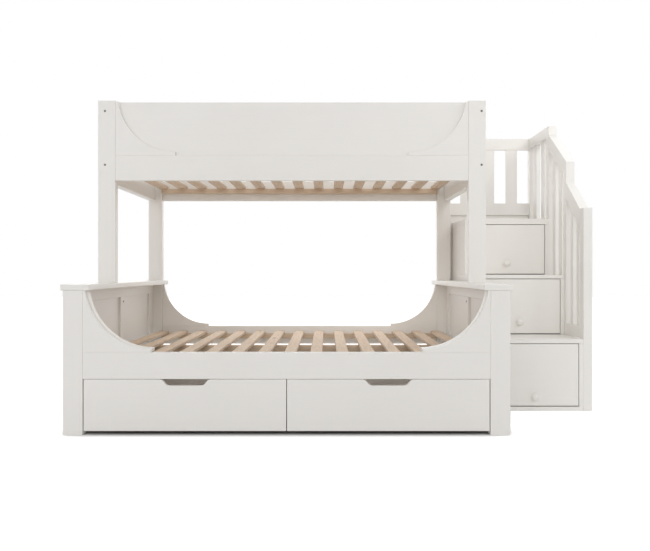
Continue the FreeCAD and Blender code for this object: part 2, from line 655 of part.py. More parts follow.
def step_floor(level):
    """Top of the board that carries this level."""
    return STAIR_BASE_THICK if level == 0 else STEP_TOPS[level - 1]


def step_ceiling(level):
    return STEP_TOPS[level] - TREAD_THICKS[level]


def stair_sides():
    made = {}
    for side, x_low, thick in (("left", X_STAIR, STAIR_SIDE_LEFT), ("right", X_OPENING_END, STAIR_SIDE_RIGHT)):
        solids = []
        for level, front in enumerate(STEP_FRONTS):
            solids.append(board(x_low, x_low + thick, from_front(front), y_carcass_end(),
                                step_floor(level), step_ceiling(level)))
        made["stair_side_" + side] = group(solids)
    return made


def treads():
    made = {}
    for name, front, top, thick in zip(("lower_tread", "middle_tread", "platform_board"),
                                       STEP_FRONTS, STEP_TOPS, TREAD_THICKS):
        y_low = from_front(front)
        solid = board(X_STAIR, X_RAILING, y_low, y_carcass_end(), top - thick, top)
        nose = lambda middle, y=y_low, z=top: abs(middle.y - y) < 0.1 and abs(middle.z - z) < 0.1
        made[name] = soften_where(solid, TREAD_NOSE_RADIUS, nose)
    return made


def stair_base():
    return board(X_STAIR, X_RAILING, from_front(STEP_FRONTS[0]), y_carcass_end(), 0, STAIR_BASE_THICK)


def stair_back():
    """Back board; above the bed's cap board it reaches over to the rear post."""
    solid = board(X_STAIR, X_RAILING, y_carcass_end(), Y_WALL, 0, STAIR_BACK_TOP)
    strip = board(X_BED_RIGHT, X_STAIR, y_carcass_end(), Y_WALL, CAP_TOP, STAIR_BACK_TOP)
    return solid.fuse(strip).removeSplitter()


# ---- stair drawers ------------------------------------------------------------------------------
def runner_z(level):
    """Underside of the runners of this level."""
    z_low = step_floor(level) + STEP_DRAWER_BOTTOM_GAP + STEP_BOX_LIFT
    z_high = step_ceiling(level) - STEP_DRAWER_GAP - STEP_BOX_DROP
    return (z_low + z_high - RUNNER_HEIGHT) / 2


def runner_reach():
    return STEP_BOX_SIDE_GAP + RUNNER_GROOVE - RUNNER_SIDE_CLEARANCE


def step_box_front(level):
    return from_front(STEP_FRONTS[level]) + STEP_DRAWER_SET_BACK + STEP_FRONT_THICK


def drawer_runners():
    solids = []
    for level in range(len(STEP_FRONTS)):
        y_low = step_box_front(level) + STEP_DRAWER_GAP
        y_high = step_box_front(level) + STEP_BOX_DEPTHS[level]
        z_low = runner_z(level)
        for x_low in (X_OPENING, X_OPENING_END - runner_reach()):
            solids.append(board(x_low, x_low + runner_reach(), y_low, y_high, z_low, z_low + RUNNER_HEIGHT))
    return group(solids)


def step_drawer_box(level):
    """Box whose sides are grooved for the runners."""
    x_low = X_OPENING + STEP_BOX_SIDE_GAP
    x_high = X_OPENING_END - STEP_BOX_SIDE_GAP
    y_low = step_box_front(level)
    y_high = y_low + STEP_BOX_DEPTHS[level]
    z_low = step_floor(level) + STEP_DRAWER_BOTTOM_GAP + STEP_BOX_LIFT
    z_high = step_ceiling(level) - STEP_DRAWER_GAP - STEP_BOX_DROP
    solids = open_box(x_low, x_high, y_low, y_high, z_low, z_high, STEP_BOX_WALL, STEP_BOX_FLOOR,
                      STEP_BOX_FLOOR_RISE)
    z_groove = runner_z(level) - RUNNER_CLEARANCE
    groove_height = RUNNER_HEIGHT + 2 * RUNNER_CLEARANCE
    for index, x_groove in ((0, x_low), (1, x_high - RUNNER_GROOVE)):
        groove = board(x_groove, x_groove + RUNNER_GROOVE, y_low, y_high, z_groove, z_groove + groove_height)
        solids[index] = solids[index].cut(groove)
    return group(solids)


def step_drawer_front(level):
    y_low = from_front(STEP_FRONTS[level]) + STEP_DRAWER_SET_BACK
    solid = board(X_OPENING + STEP_DRAWER_GAP, X_OPENING_END - STEP_DRAWER_GAP, y_low, y_low + STEP_FRONT_THICK,
                  step_floor(level) + STEP_DRAWER_BOTTOM_GAP, step_ceiling(level) - STEP_DRAWER_GAP)
    return soften_where(solid, FRONT_EDGE, lambda middle: abs(middle.y - y_low) < 0.1)


def knob(level):
    """Turned knob: a round neck, a head with a straight rim and a bevelled front."""
    y_face = from_front(STEP_FRONTS[level]) + STEP_DRAWER_SET_BACK
    spot = Vec((X_OPENING + X_OPENING_END) / 2, y_face, KNOB_HEIGHTS[level])
    outward = Vec(0, -1, 0)
    neck = Part.makeCylinder(KNOB_NECK, KNOB_NECK_LENGTH, spot, outward)
    rim = Part.makeCylinder(KNOB_RADIUS, KNOB_RIM_WIDTH, spot + outward * KNOB_NECK_LENGTH, outward)
    rim_end = KNOB_NECK_LENGTH + KNOB_RIM_WIDTH
    front = Part.makeCone(KNOB_RADIUS, KNOB_FLAT, KNOB_LENGTH - rim_end, spot + outward * rim_end, outward)
    return neck.fuse(rim).fuse(front)


def step_drawers():
    made = {}
    for level, name in enumerate(("lower", "middle", "upper")):
        made["step_drawer_" + name + "_front"] = step_drawer_front(level)
        made["step_drawer_" + name + "_box"] = step_drawer_box(level)
        made["step_drawer_" + name + "_knob"] = knob(level)
    return made


# ---- stair railing ------------------------------------------------------------------------------
def module_span(index):
    """Front of the clear space of a railing module and the front of the next post."""
    starts = [from_front(front) + (NEWEL_WIDTH if front == MODULE_FRONTS[0] else RAIL_POST_DEPTH)
              for front in MODULE_FRONTS]
    ends = [from_front(front) for front in MODULE_FRONTS[1:]] + [Y_WALL - RAIL_POST_DEPTH]
    return starts[index], ends[index]


def rail_underside(index, y):
    """Height of the underside of a module's top rail at a given y."""
    if index == len(MODULE_FRONTS) - 1:
        return UPPER_TOP - LEVEL_RAIL_HEIGHT
    y_low = slope_start(index)
    y_high = from_front(MODULE_FRONTS[index + 1])
    share = (y - y_low) / (y_high - y_low)
    return SLOPE_STARTS[index] + share * (SLOPE_ENDS[index] - SLOPE_STARTS[index]) - SLOPE_RAIL_HEIGHT


def slope_start(index):
    """The first sloping rail starts behind the newel, the second over its own post."""
    return module_span(0)[0] if index == 0 else from_front(MODULE_FRONTS[index])


def top_rail(index):
    if index == len(MODULE_FRONTS) - 1:
        return board(X_RAILING, X_RAILING_END, from_front(MODULE_FRONTS[index]), Y_WALL,
                     UPPER_TOP - LEVEL_RAIL_HEIGHT, UPPER_TOP)
    y_low = slope_start(index)
    y_high = from_front(MODULE_FRONTS[index + 1])
    outline = [(y_low, SLOPE_STARTS[index] - SLOPE_RAIL_HEIGHT), (y_high, SLOPE_ENDS[index] - SLOPE_RAIL_HEIGHT),
               (y_high, SLOPE_ENDS[index]), (y_low, SLOPE_STARTS[index])]
    return plate_yz(outline, X_RAILING, NEWEL_WIDTH)


def low_rail_top(index):
    """The lowest module's low rail stands above its step; the others lie beside the stair's side."""
    return STEP_TOPS[index] + (LOW_RAIL_HEIGHT if index == 0 else 0)


def low_rail(index):
    y_low, y_high = module_span(index)
    z_high = low_rail_top(index)
    return board(X_RAILING, X_RAILING + LOW_RAIL_THICK, y_low, y_high, z_high - LOW_RAIL_HEIGHT, z_high)


def bars(index):
    z_low = low_rail_top(index)
    solids = []
    for start in BAR_STARTS[index]:
        y_low = module_span(index)[0] + start
        y_high = y_low + BAR_WIDTHS[index]
        outline = [(y_low, z_low), (y_high, z_low), (y_high, rail_underside(index, y_high)),
                   (y_low, rail_underside(index, y_low))]
        solids.append(plate_yz(outline, X_BARS, BAR_THICK))
    return solids


def railing_posts():
    newel = board(X_RAILING, X_RAILING_END, from_front(MODULE_FRONTS[0]), module_span(0)[0], 0, NEWEL_TOP)
    solids = [ease(newel, POST_EDGE, Vec(0, 0, 1))]
    y_low = from_front(MODULE_FRONTS[1])
    y_high = y_low + RAIL_POST_DEPTH
    outline = [(y_low, 0), (y_high, 0), (y_high, rail_underside(1, y_high)), (y_low, rail_underside(1, y_low))]
    solids.append(plate_yz(outline, X_RAILING, NEWEL_WIDTH))
    for y_low in (from_front(MODULE_FRONTS[2]), Y_WALL - RAIL_POST_DEPTH):
        solids.append(board(X_RAILING, X_RAILING_END, y_low, y_low + RAIL_POST_DEPTH, 0,
                            UPPER_TOP - LEVEL_RAIL_HEIGHT))
    return group(solids)


def railings():
    made = {}
    for index, name in enumerate(("lower_railing", "middle_railing", "upper_railing")):
        made[name] = group([top_rail(index), low_rail(index)] + bars(index))
    return made


def platform_guard():
    """Guard at the wall side of the platform: two rails and upright boards set out from the railing."""
    y_low = Y_WALL - REAR_GUARD_THICK
    z_low = STAIR_BACK_TOP + REAR_GUARD_LOW_RAIL
    z_high = UPPER_TOP - REAR_TOP_RAIL
    solids = [board(X_BED_RIGHT, X_RAILING, y_low, Y_WALL, STAIR_BACK_TOP, z_low),
              board(X_BED_RIGHT, X_RAILING, y_low, Y_WALL, z_high, UPPER_TOP)]
    x_high = X_RAILING - PICKET_GAP
    while x_high - PICKET_WIDTH > X_STAIR:
        solids.append(board(x_high - PICKET_WIDTH, x_high, y_low + (REAR_GUARD_THICK - PICKET_THICK) / 2,
                            Y_WALL - (REAR_GUARD_THICK - PICKET_THICK) / 2, z_low, z_high))
        x_high -= PICKET_WIDTH + PICKET_GAP
    return group(solids)


# ---- assembly -----------------------------------------------------------------------------------
def build():
    y_lower_rail = Y_FRONT + RAIL_SET_BACK + RAIL_THICK
    y_upper_rail = Y_UPPER_FRONT + RAIL_SET_BACK + RAIL_THICK
    made = {}
    made.update(lower_posts())
    made.update(upper_posts())
    made.update(lower_ends())
    made.update(long_rails())
    made.update(lower_brackets())
    made["cap_boards"] = cap_boards()
    made["upper_brackets"] = upper_brackets()
    made["upper_end_rails"] = upper_end_rails()
    made["upper_front_guard"] = upper_front_guard()
    made["upper_rear_guard"] = upper_rear_guard()
    made["upper_end_guard_left"] = upper_end_guard(X_BED_LEFT, Y_REAR_POST, 1)
    made["upper_end_guard_right"] = upper_end_guard(X_BED_RIGHT - UPPER_END_THICK, from_front(RIGHT_GUARD_END), -1)
    made["lower_slats"] = slats(y_lower_rail, LOWER_SLAT_TOP)
    made["upper_slats"] = slats(y_upper_rail, UPPER_SLAT_TOP)
    made["slat_ledgers"] = group(ledgers(y_lower_rail, LOWER_SLAT_TOP) + ledgers(y_upper_rail, UPPER_SLAT_TOP))
    made["centre_beam"] = centre_beam()
    made["joint_bolts"] = joint_bolts()
    made.update(bed_drawers())
    made.update(stair_sides())
    made.update(treads())
    made["stair_base"] = stair_base()
    made["stair_back"] = stair_back()
    made["drawer_runners"] = drawer_runners()
    made.update(step_drawers())
    made["railing_posts"] = railing_posts()
    made.update(railings())
    made["platform_guard"] = platform_guard()
    return made


os.makedirs("parts", exist_ok=True)
for node, shape in build().items():
    shape.exportStep("parts/" + node + ".step")
    print(node, len(shape.Solids), "solids", round(shape.Volume / 1e6, 2), "litres", shape.isValid())
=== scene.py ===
# %% [markdown]
# # A white bunk bed with storage stairs
# The bed is an assembly of boards: painted ends, rails and guards, bare pine slats, two drawers on
# castors and a stair with three drawers. A CAD model holds their sizes and places. This lesson
# makes the boards again with softened edges, adds the small parts, and gives every surface its
# finish. Each new piece is compared with the box of the CAD part that it replaces.

import json
import math

import bpy
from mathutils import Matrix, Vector

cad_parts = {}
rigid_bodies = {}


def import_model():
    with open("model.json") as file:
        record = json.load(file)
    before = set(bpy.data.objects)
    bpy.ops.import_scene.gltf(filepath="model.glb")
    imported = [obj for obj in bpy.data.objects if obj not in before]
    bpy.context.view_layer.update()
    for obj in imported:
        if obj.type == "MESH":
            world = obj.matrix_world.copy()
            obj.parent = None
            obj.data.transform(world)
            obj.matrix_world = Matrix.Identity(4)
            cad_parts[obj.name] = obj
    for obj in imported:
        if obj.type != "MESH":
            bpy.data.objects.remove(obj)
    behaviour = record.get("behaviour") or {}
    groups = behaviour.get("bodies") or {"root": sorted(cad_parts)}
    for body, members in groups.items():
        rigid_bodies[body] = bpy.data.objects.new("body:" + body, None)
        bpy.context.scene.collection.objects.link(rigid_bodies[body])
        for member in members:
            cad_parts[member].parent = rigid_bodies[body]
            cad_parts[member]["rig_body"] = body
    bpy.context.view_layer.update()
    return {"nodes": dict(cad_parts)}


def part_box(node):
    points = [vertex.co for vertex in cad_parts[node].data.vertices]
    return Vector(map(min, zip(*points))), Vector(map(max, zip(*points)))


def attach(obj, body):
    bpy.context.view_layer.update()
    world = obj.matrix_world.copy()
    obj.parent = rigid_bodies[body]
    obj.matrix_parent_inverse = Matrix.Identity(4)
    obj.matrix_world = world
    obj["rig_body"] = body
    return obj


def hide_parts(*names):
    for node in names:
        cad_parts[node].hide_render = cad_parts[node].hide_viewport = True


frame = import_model()

# %% [markdown]
# ## Shader sums written as Python
# A finish needs many small sums on shader values. Wiring each Math node by hand hides the idea, so
# one class wraps a socket and lets Python's own signs add the Math nodes.

# %% A socket that can be reckoned with
class Shade:
    """One output of a shader node. Arithmetic on it adds Math nodes to the same material."""

    def __init__(self, finish, socket):
        self.finish = finish
        self.socket = socket

    def above(self, low, high):
        """0 below low, 1 above high and a smooth step between them."""
        return self.finish.node("MapRange", {0: self, 1: low, 2: high},
                                interpolation_type="SMOOTHSTEP")


def sign_method(operation, number_first):
    """What Python calls for one sign, with the number in front of the Shade or behind it."""
    def method(shade, other):
        first, second = (other, shade) if number_first else (shade, other)
        return shade.finish.node("Math", {0: first, 1: second}, operation=operation)
    return method


for sign, operation in (("add", "ADD"), ("sub", "SUBTRACT"), ("mul", "MULTIPLY"),
                        ("truediv", "DIVIDE")):
    setattr(Shade, f"__{sign}__", sign_method(operation, False))
    setattr(Shade, f"__r{sign}__", sign_method(operation, True))

# %% [markdown]
# ## One method for every node
# Adding a node is always the same work: make it, set it up, fill its sockets. So one method does it
# for all of them, and the finishes below read like recipes. The world has a node tree as well, so
# it is built with the same class.

# %% A material under construction
class Finish:
    """A material, or a world, whose nodes are all added by one method."""

    def __init__(self, name, kind="materials", surface="Principled BSDF"):
        self.material = getattr(bpy.data, kind).new(name)
        self.material.use_nodes = True
        self.tree = self.material.node_tree
        self.surface = self.tree.nodes[surface]

    def wire(self, node, sockets):
        """Set each socket to a number or colour, or link it to a Shade."""
        for place, value in sockets.items():
            if isinstance(value, Shade):
                self.tree.links.new(value.socket, node.inputs[place])
            else:
                node.inputs[place].default_value = value

    def node(self, kind, sockets, out=0, **settings):
        """Add one node: its settings first, then its sockets; returns the output asked for."""
        made = self.tree.nodes.new("ShaderNode" + kind)
        for setting, value in settings.items():
            setattr(made, setting, value)
        self.wire(made, sockets)
        return Shade(self, made.outputs[out])

    def position(self, stretch=(1, 1, 1), shift=(0, 0, 0)):
        """Object coordinates, scaled by stretch, so a pattern gets longer along a small number."""
        place = self.node("TexCoord", {}, out="Object")
        return self.node("Mapping", {"Vector": place, "Scale": stretch, "Location": shift})

    def noise(self, scale, detail=2, roughness=0.5, stretch=(1, 1, 1), place=None):
        """A noise in Object coordinates, stretched, or at a place that was worked out before."""
        place = place or self.position(stretch)
        return self.node("TexNoise", {"Vector": place, "Scale": scale, "Detail": detail,
                                      "Roughness": roughness}, out="Fac")

    def mix(self, share, first, second):
        """Blend two colours."""
        return self.node("Mix", {0: share, 6: first, 7: second}, out=2, data_type="RGBA")

    def raised(self, height, distance, strength=1.0):
        """A bump from a height between 0 and 1, distance metres deep."""
        return self.node("Bump", {"Height": height, "Distance": distance, "Strength": strength})

    def wear_it(self, **sockets):
        """Set the surface's sockets by name, with _ for a space, and return the material."""
        self.wire(self.surface, {name.replace("_", " "): value for name, value in sockets.items()})
        return self.material


def colour(red, green, blue):
    return (red, green, blue, 1.0)


# %% [markdown]
# ## White satin paint
# The bed is sprayed and rolled in a warm white satin paint. Close up, the wood's fibres show
# through it as fine lines along each board, the roller leaves a faint stipple, and the sheen is a
# little uneven. A noise stretched along the board makes the fibres, so there is one paint for each
# direction that a board can lie in. A fourth paint is for softened edges, where the coat is thin.

# %% The paint
WHITE = colour(0.925, 0.903, 0.866)
WHITE_SHADED = colour(0.900, 0.875, 0.838)
WHITE_THIN = colour(0.875, 0.835, 0.775)
ORDER = ("x", "y", "z", "edge")      # the four finishes of a piece, in this order
STRETCH = {"x": (0.05, 1, 1), "y": (1, 0.05, 1), "z": (1, 1, 0.05), "edge": (1, 1, 1)}


def paint(name, along):
    finish = Finish(name)
    fibres = finish.noise(420, 4, 0.6, STRETCH[along])
    lines = finish.noise(75, 3, stretch=STRETCH[along])
    stipple = finish.noise(900, 1)
    cloud = finish.noise(2.7, 3)
    tone = cloud.above(0.30, 0.75) * 0.6 + lines.above(0.45, 0.8) * 0.3
    base = finish.mix(tone, WHITE, WHITE_SHADED)
    if along == "edge":
        chips = finish.noise(38, 5, 0.7)
        base = finish.mix(chips.above(0.52, 0.74) * 0.8, base, WHITE_THIN)
    height = fibres * 0.45 + lines * 0.25 + stipple * 0.3
    return finish.wear_it(
        Base_Color=base,
        Roughness=0.33 + cloud * 0.12 + fibres * 0.08,
        Specular_IOR_Level=0.42,
        Normal=finish.raised(height, 0.00035, 0.5),
    )


PAINT = {along: paint("paint_" + along, along) for along in ORDER}
print("paints:", [material.name for material in PAINT.values()])

# %% [markdown]
# ## Bare pine
# The slats, the ledgers and the middle beam are planed pine: pale yellow early wood with darker
# late wood lines along the board, and a few brown knots. The rings are long bands that wander a
# little, and the knots are cells of a Voronoi pattern that few boards meet. Neighbouring slats come
# from different trees, so the pattern jumps from slat to slat and the tone changes with it.

# %% The pine
PINE_PALE = colour(0.76, 0.61, 0.47)
PINE_DARK = colour(0.62, 0.465, 0.33)
PINE_KNOT = colour(0.20, 0.095, 0.045)


def pine(name, along, board_pitch):
    finish = Finish(name)
    across = 0 if along == "y" else 2
    apart = finish.node("SeparateXYZ", {0: finish.position()}, out=across)
    number = finish.node("Math", {0: apart / board_pitch}, operation="FLOOR")
    chance = finish.node("TexWhiteNoise", {"W": number}, out="Value", noise_dimensions="1D")
    jump = finish.node("CombineXYZ", {0: chance * 3.1, 1: chance * 7.7, 2: chance * 1.9})
    place = finish.node("VectorMath", {0: finish.position(STRETCH[along]), 1: jump},
                        operation="ADD")
    drift = finish.noise(5, place=place)
    bands = finish.noise(34, 4, 0.65, place=place)
    rings = finish.node("Math", {0: (bands + drift * 0.6) * 44}, operation="SINE")
    fibres = finish.noise(900, 3, stretch=STRETCH[along])
    knot_stretch = (1, 0.45, 1) if along == "y" else (0.45, 1, 1)
    knot_place = finish.node("VectorMath", {0: finish.position(knot_stretch), 1: jump},
                             operation="ADD")
    knot_far = finish.node("TexVoronoi", {"Vector": knot_place, "Scale": 4.6, "Randomness": 1.0},
                           out="Distance")
    knots = 1 - (knot_far + drift * 0.03).above(0.045, 0.085)
    tone = rings.above(-0.3, 1.0) * 0.55 + fibres * 0.25 + chance * 0.35 - 0.1
    base = finish.mix(knots * 0.85, finish.mix(tone, PINE_PALE, PINE_DARK), PINE_KNOT)
    return finish.wear_it(
        Base_Color=base,
        Roughness=0.62 + fibres * 0.14 - knots * 0.15,
        Specular_IOR_Level=0.35,
        Normal=finish.raised(fibres * 0.6 + rings * 0.1, 0.0004, 0.6),
    )


SLAT_PITCH = 0.1294
PINE = {"x": pine("pine_x", "x", 0.6), "y": pine("pine_y", "y", SLAT_PITCH)}
PINE["z"] = PINE["x"]
PINE["edge"] = PINE["y"]
print("pines:", sorted({material.name for material in PINE.values()}))

# %% [markdown]
# ## Coated board, metal and nylon
# The drawer boxes are coated board, smoother and cooler than the paint. The bed bolts are dark
# zinc, the screws and castor plates bright zinc with the clouded sheen of plating, and the castor
# wheels are moulded nylon, scuffed where they roll.

# %% The smaller finishes
def coated_board():
    finish = Finish("coated_board")
    pores = finish.noise(1400)
    cloud = finish.noise(4)
    base = finish.mix(cloud.above(0.3, 0.7) * 0.5,
                      colour(0.78, 0.765, 0.74), colour(0.74, 0.72, 0.69))
    return finish.wear_it(Base_Color=base, Roughness=0.40 + pores * 0.12,
                          Normal=finish.raised(pores, 0.0002, 0.4))


def plated(name, bright, dull, roughness):
    finish = Finish(name)
    cloud = finish.noise(260, 4, 0.7)
    lines = finish.noise(500, stretch=(1, 1, 9))
    return finish.wear_it(
        Base_Color=finish.mix(cloud.above(0.35, 0.75), bright, dull),
        Metallic=1.0,
        Roughness=roughness + cloud * 0.15 + lines * 0.08,
        Normal=finish.raised(cloud * 0.5 + lines * 0.5, 0.0001, 0.4),
    )


def nylon():
    finish = Finish("castor_nylon")
    scuffs = finish.noise(240, 4, 0.7, (6, 1, 1)).above(0.5, 0.75)
    grain = finish.noise(1500, 1)
    return finish.wear_it(
        Base_Color=finish.mix(scuffs, colour(0.045, 0.045, 0.048), colour(0.16, 0.155, 0.15)),
        Roughness=0.42 + scuffs * 0.25,
        Normal=finish.raised(grain * 0.6 + scuffs * 0.4, 0.0002, 0.5),
    )


def all_ways(material):
    """The same material for every direction and for the edges."""
    return dict.fromkeys(ORDER, material)


BOARD = all_ways(coated_board())
DARK_ZINC = all_ways(plated("dark_zinc",
                            colour(0.20, 0.195, 0.19), colour(0.12, 0.115, 0.11), 0.32))
ZINC = all_ways(plated("bright_zinc", colour(0.62, 0.62, 0.61), colour(0.46, 0.455, 0.44), 0.26))
NYLON = all_ways(nylon())
print("smaller finishes:", [finishes["x"].name for finishes in (BOARD, DARK_ZINC, ZINC, NYLON)])

# %% [markdown]
# ## Boards
# Nearly all of the bed is boards, and a real board never has a knife edge: the sander takes it down
# to a radius of a millimetre or two, which catches the light and shows where two boards meet. So a
# board is a cube primitive at its size and place, with all its edges bevelled in edit mode. The
# bevel's own faces get the thin paint of the edges. Boards of one sub-part are added to one mesh.

# %% Start and close a piece
EDGE = 0.0014                # radius that the sander leaves on a board
ROUND_STEPS = 2
SHADE_ANGLE = math.radians(35)


def select_only(piece):
    bpy.ops.object.select_all(action="DESELECT")
    bpy.context.view_layer.objects.active = piece
    piece.select_set(True)


def dress(piece, finishes, along):
    """Give a piece its four finishes, and its faces the one for their direction."""
    piece.data.materials.clear()
    for name in ORDER:
        piece.data.materials.append(finishes[name])
    for face in piece.data.polygons:
        face.material_index = ORDER.index(along)


def modify(piece, kind, **settings):
    """Add a modifier, set it up and apply it."""
    select_only(piece)
    bpy.ops.object.modifier_add(type=kind)
    modifier = piece.modifiers[-1]
    for setting, value in settings.items():
        setattr(modifier, setting, value)
    bpy.ops.object.modifier_apply(modifier=modifier.name)


def begin(name, finishes):
    """Start an empty piece in edit mode."""
    piece = bpy.data.objects.new(name, bpy.data.meshes.new(name))
    bpy.context.scene.collection.objects.link(piece)
    select_only(piece)
    dress(piece, finishes, ORDER[0])
    bpy.ops.object.mode_set(mode="EDIT")
    return piece


def close(piece):
    """Leave edit mode and shade the piece, with flat faces kept flat beside their round edges."""
    bpy.ops.object.mode_set(mode="OBJECT")
    bpy.ops.object.shade_smooth_by_angle(angle=SHADE_ANGLE)
    modify(piece, "WEIGHTED_NORMAL")
    return piece


def seat(piece, node):
    """The piece stands for a CAD node, moves with its body, and is compared with its box."""
    low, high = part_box(node)
    spots = [vertex.co for vertex in piece.data.vertices]
    off = max(max(abs(min(spot[axis] for spot in spots) - low[axis]),
                  abs(max(spot[axis] for spot in spots) - high[axis])) for axis in range(3))
    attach(piece, frame["nodes"][node]["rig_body"])
    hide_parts(node)
    print(f"{piece.name}: {len(piece.data.polygons)} faces, {1000 * off:.1f} mm off the CAD box")
    return piece


# %% [markdown]
# ## Adding a board
# A straight board is a box with soft edges. A rail that follows the stair leans, so the far end of
# its box is lifted before the edges are rounded. Lifting corners keeps the ends upright, where
# turning the whole box would tilt them.

# %% Add boards to a piece
NEAR = 1e-5                  # corners closer than this are at the same place


def add_box(low, high, along):
    """Add a sharp box to the piece under edit, in the finish for its direction."""
    low, high = Vector(low), Vector(high)
    bpy.ops.mesh.select_all(action="DESELECT")
    bpy.ops.mesh.primitive_cube_add(size=1, location=(low + high) / 2, scale=high - low)
    bpy.context.object.active_material_index = ORDER.index(along)
    bpy.ops.object.material_slot_assign()


def board(low, high, along, edge=EDGE, steps=ROUND_STEPS):
    """One board from corner to corner, with its fibres along an axis and its edges softened."""
    add_box(low, high, along)
    bpy.ops.mesh.bevel(offset=edge, segments=steps, profile=0.5, material=ORDER.index("edge"))


def leaning_board(low, high, rise_low, rise_high, along="y"):
    """A board whose far end along +Y is lifted: its underside by rise_low, its top by rise_high."""
    add_box(low, high, along)
    lift_end(high[1], low[2], rise_low)
    lift_end(high[1], high[2], rise_high)
    bpy.ops.mesh.select_linked()
    bpy.ops.mesh.bevel(offset=EDGE, segments=ROUND_STEPS, profile=0.5, material=ORDER.index("edge"))


def select_parts(kind, test):
    """Select, in edit mode, the VERT or EDGE parts that pass the test, and nothing else."""
    mesh = bpy.context.object.data
    bpy.ops.mesh.select_mode(type=kind)
    bpy.ops.mesh.select_all(action="DESELECT")
    bpy.ops.object.mode_set(mode="OBJECT")
    for part in mesh.vertices if kind == "VERT" else mesh.edges:
        part.select = test(part)
    bpy.ops.object.mode_set(mode="EDIT")


def pick(test):
    """Select the corners whose place passes the test."""
    select_parts("VERT", lambda vertex: test(vertex.co))


def lift_end(y, z, rise):
    """Lift the two corners at one height of the newest board's far end."""
    pick(lambda spot: abs(spot.y - y) < NEAR and abs(spot.z - z) < NEAR)
    bpy.ops.transform.translate(value=(0, 0, rise))


def boards_piece(name, node, boards, finishes=PAINT):
    """A whole sub-part made of boards; each is (low corner, high corner, direction)."""
    piece = begin(name, finishes)
    for low, high, along in boards:
        board(low, high, along)
    return seat(close(piece), node)


# %% [markdown]
# ## Single boards
# Many sub-parts are one board that fills its CAD box: posts, rails, treads and panels. The board
# takes its corners from the frame and its direction from its own length. Posts and treads are
# rounder.

# %% Posts, rails and other single boards
POST_EDGE = 0.003
TREAD_EDGE = 0.0025


def single(node, along, edge=EDGE, steps=ROUND_STEPS):
    low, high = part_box(node)
    piece = begin(node + "_board", PAINT)
    board(low, high, along, edge, steps)
    return seat(close(piece), node)


SIDES = ("left", "right")
for side in SIDES:
    for row in ("front", "rear"):
        single(f"lower_post_{row}_{side}", "z", POST_EDGE, 3)
for level in ("lower", "upper"):
    for row in ("front", "rear"):
        single(f"{level}_{row}_rail", "x")
single("upper_front_guard", "x")
single("stair_base", "y")
for node in ("lower_tread", "middle_tread", "platform_board"):
    single(node, "y", TREAD_EDGE, 3)

# %% [markdown]
# ## Cap boards
# A wide board lies on each lower end and carries the upper posts. Its top edges are rounded more
# than the others, because a hand rests there, and its joint with the posts below stays a fine dark
# line.

# %% Cap boards
def ends_of(node, width):
    """X spans of the left and right members of a node that lies on both ends of the bed."""
    low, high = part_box(node)
    return (low[0], low[0] + width), (high[0] - width, high[0])


CAP_WIDTH = 0.132
CAP_EDGE = 0.0045
cap_low, cap_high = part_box("cap_boards")
caps = begin("cap_boards_pair", PAINT)
for x_low, x_high in ends_of("cap_boards", CAP_WIDTH):
    board((x_low, cap_low[1], cap_low[2]), (x_high, cap_high[1], cap_high[2]), "y", CAP_EDGE, 4)
seat(close(caps), "cap_boards")

# %% [markdown]
# ## Ends with sunk panels
# Each end is a frame of stiles and rails with thin panels let into it. Making the frame from its
# real boards gives the joint lines for nothing. The panel sinks from the side that faces the
# mattress.

# %% Framed ends
END_STILE = 0.088
END_MID_STILE_AT = 0.787     # middle of the middle stile, behind the front of the lower bed
END_TOP_RAIL = 0.059
END_BOTTOM_RAIL = 0.090
PANEL_THICK = 0.009
PANEL_SINK = 0.012
GUARD_STILE = 0.060
GUARD_TOP_RAIL = 0.070
GUARD_BOTTOM_RAIL = 0.030
Y_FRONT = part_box("lower_post_front_left")[0][1]


def framed(node, stiles, top_rail, bottom_rail, sinks_to):
    """Rails, stiles and sunk panels; stiles are Y spans, sinks_to is the X side the panels face."""
    low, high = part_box(node)
    z_low, z_high = low[2] + bottom_rail, high[2] - top_rail
    boards = [((low[0], low[1], z_high), high, "y"), (low, (high[0], high[1], z_low), "y")]
    for start, end in stiles:
        boards.append(((low[0], start, z_low), (high[0], end, z_high), "z"))
    x_panel = high[0] - PANEL_SINK - PANEL_THICK if sinks_to > 0 else low[0] + PANEL_SINK
    for (_, start), (end, _) in zip(stiles, stiles[1:]):
        boards.append(((x_panel, start, z_low), (x_panel + PANEL_THICK, end, z_high), "z"))
    return boards_piece(node + "_frame", node, boards)


for side, sinks_to in (("left", 1), ("right", -1)):
    node = "lower_end_" + side
    low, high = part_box(node)
    middle = Y_FRONT + END_MID_STILE_AT
    framed(node, [(low[1], low[1] + END_STILE), (middle - END_STILE / 2, middle + END_STILE / 2),
                  (high[1] - END_STILE, high[1])], END_TOP_RAIL, END_BOTTOM_RAIL, sinks_to)
    node = "upper_end_guard_" + side
    low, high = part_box(node)
    framed(node, [(low[1], low[1] + GUARD_STILE), (high[1] - GUARD_STILE, high[1])],
           GUARD_TOP_RAIL, GUARD_BOTTOM_RAIL, sinks_to)

UPPER_END_THICK = 0.045
rail_low, rail_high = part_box("upper_end_rails")
boards_piece("upper_end_rail_pair", "upper_end_rails",
             [((x_low, rail_low[1], rail_low[2]), (x_high, rail_high[1], rail_high[2]), "y")
              for x_low, x_high in ends_of("upper_end_rails", UPPER_END_THICK)])

# %% [markdown]
# ## Curved corner brackets
# The bed's sign is its hollow quarter-round corners. On the lower front corners the bracket is
# glued up from two layers with a groove between them, so its curved edge shows a light band, a dark
# line and a wider light band. The shape is a square corner block with a cylinder taken out of it by
# a Boolean modifier. A second, larger and thinner cylinder turns the groove. Then a Bevel modifier
# softens whatever edge is sharp.

# %% Cutting and softening
CURVE_STEPS = 160
CURVE_RADIUS = 0.300


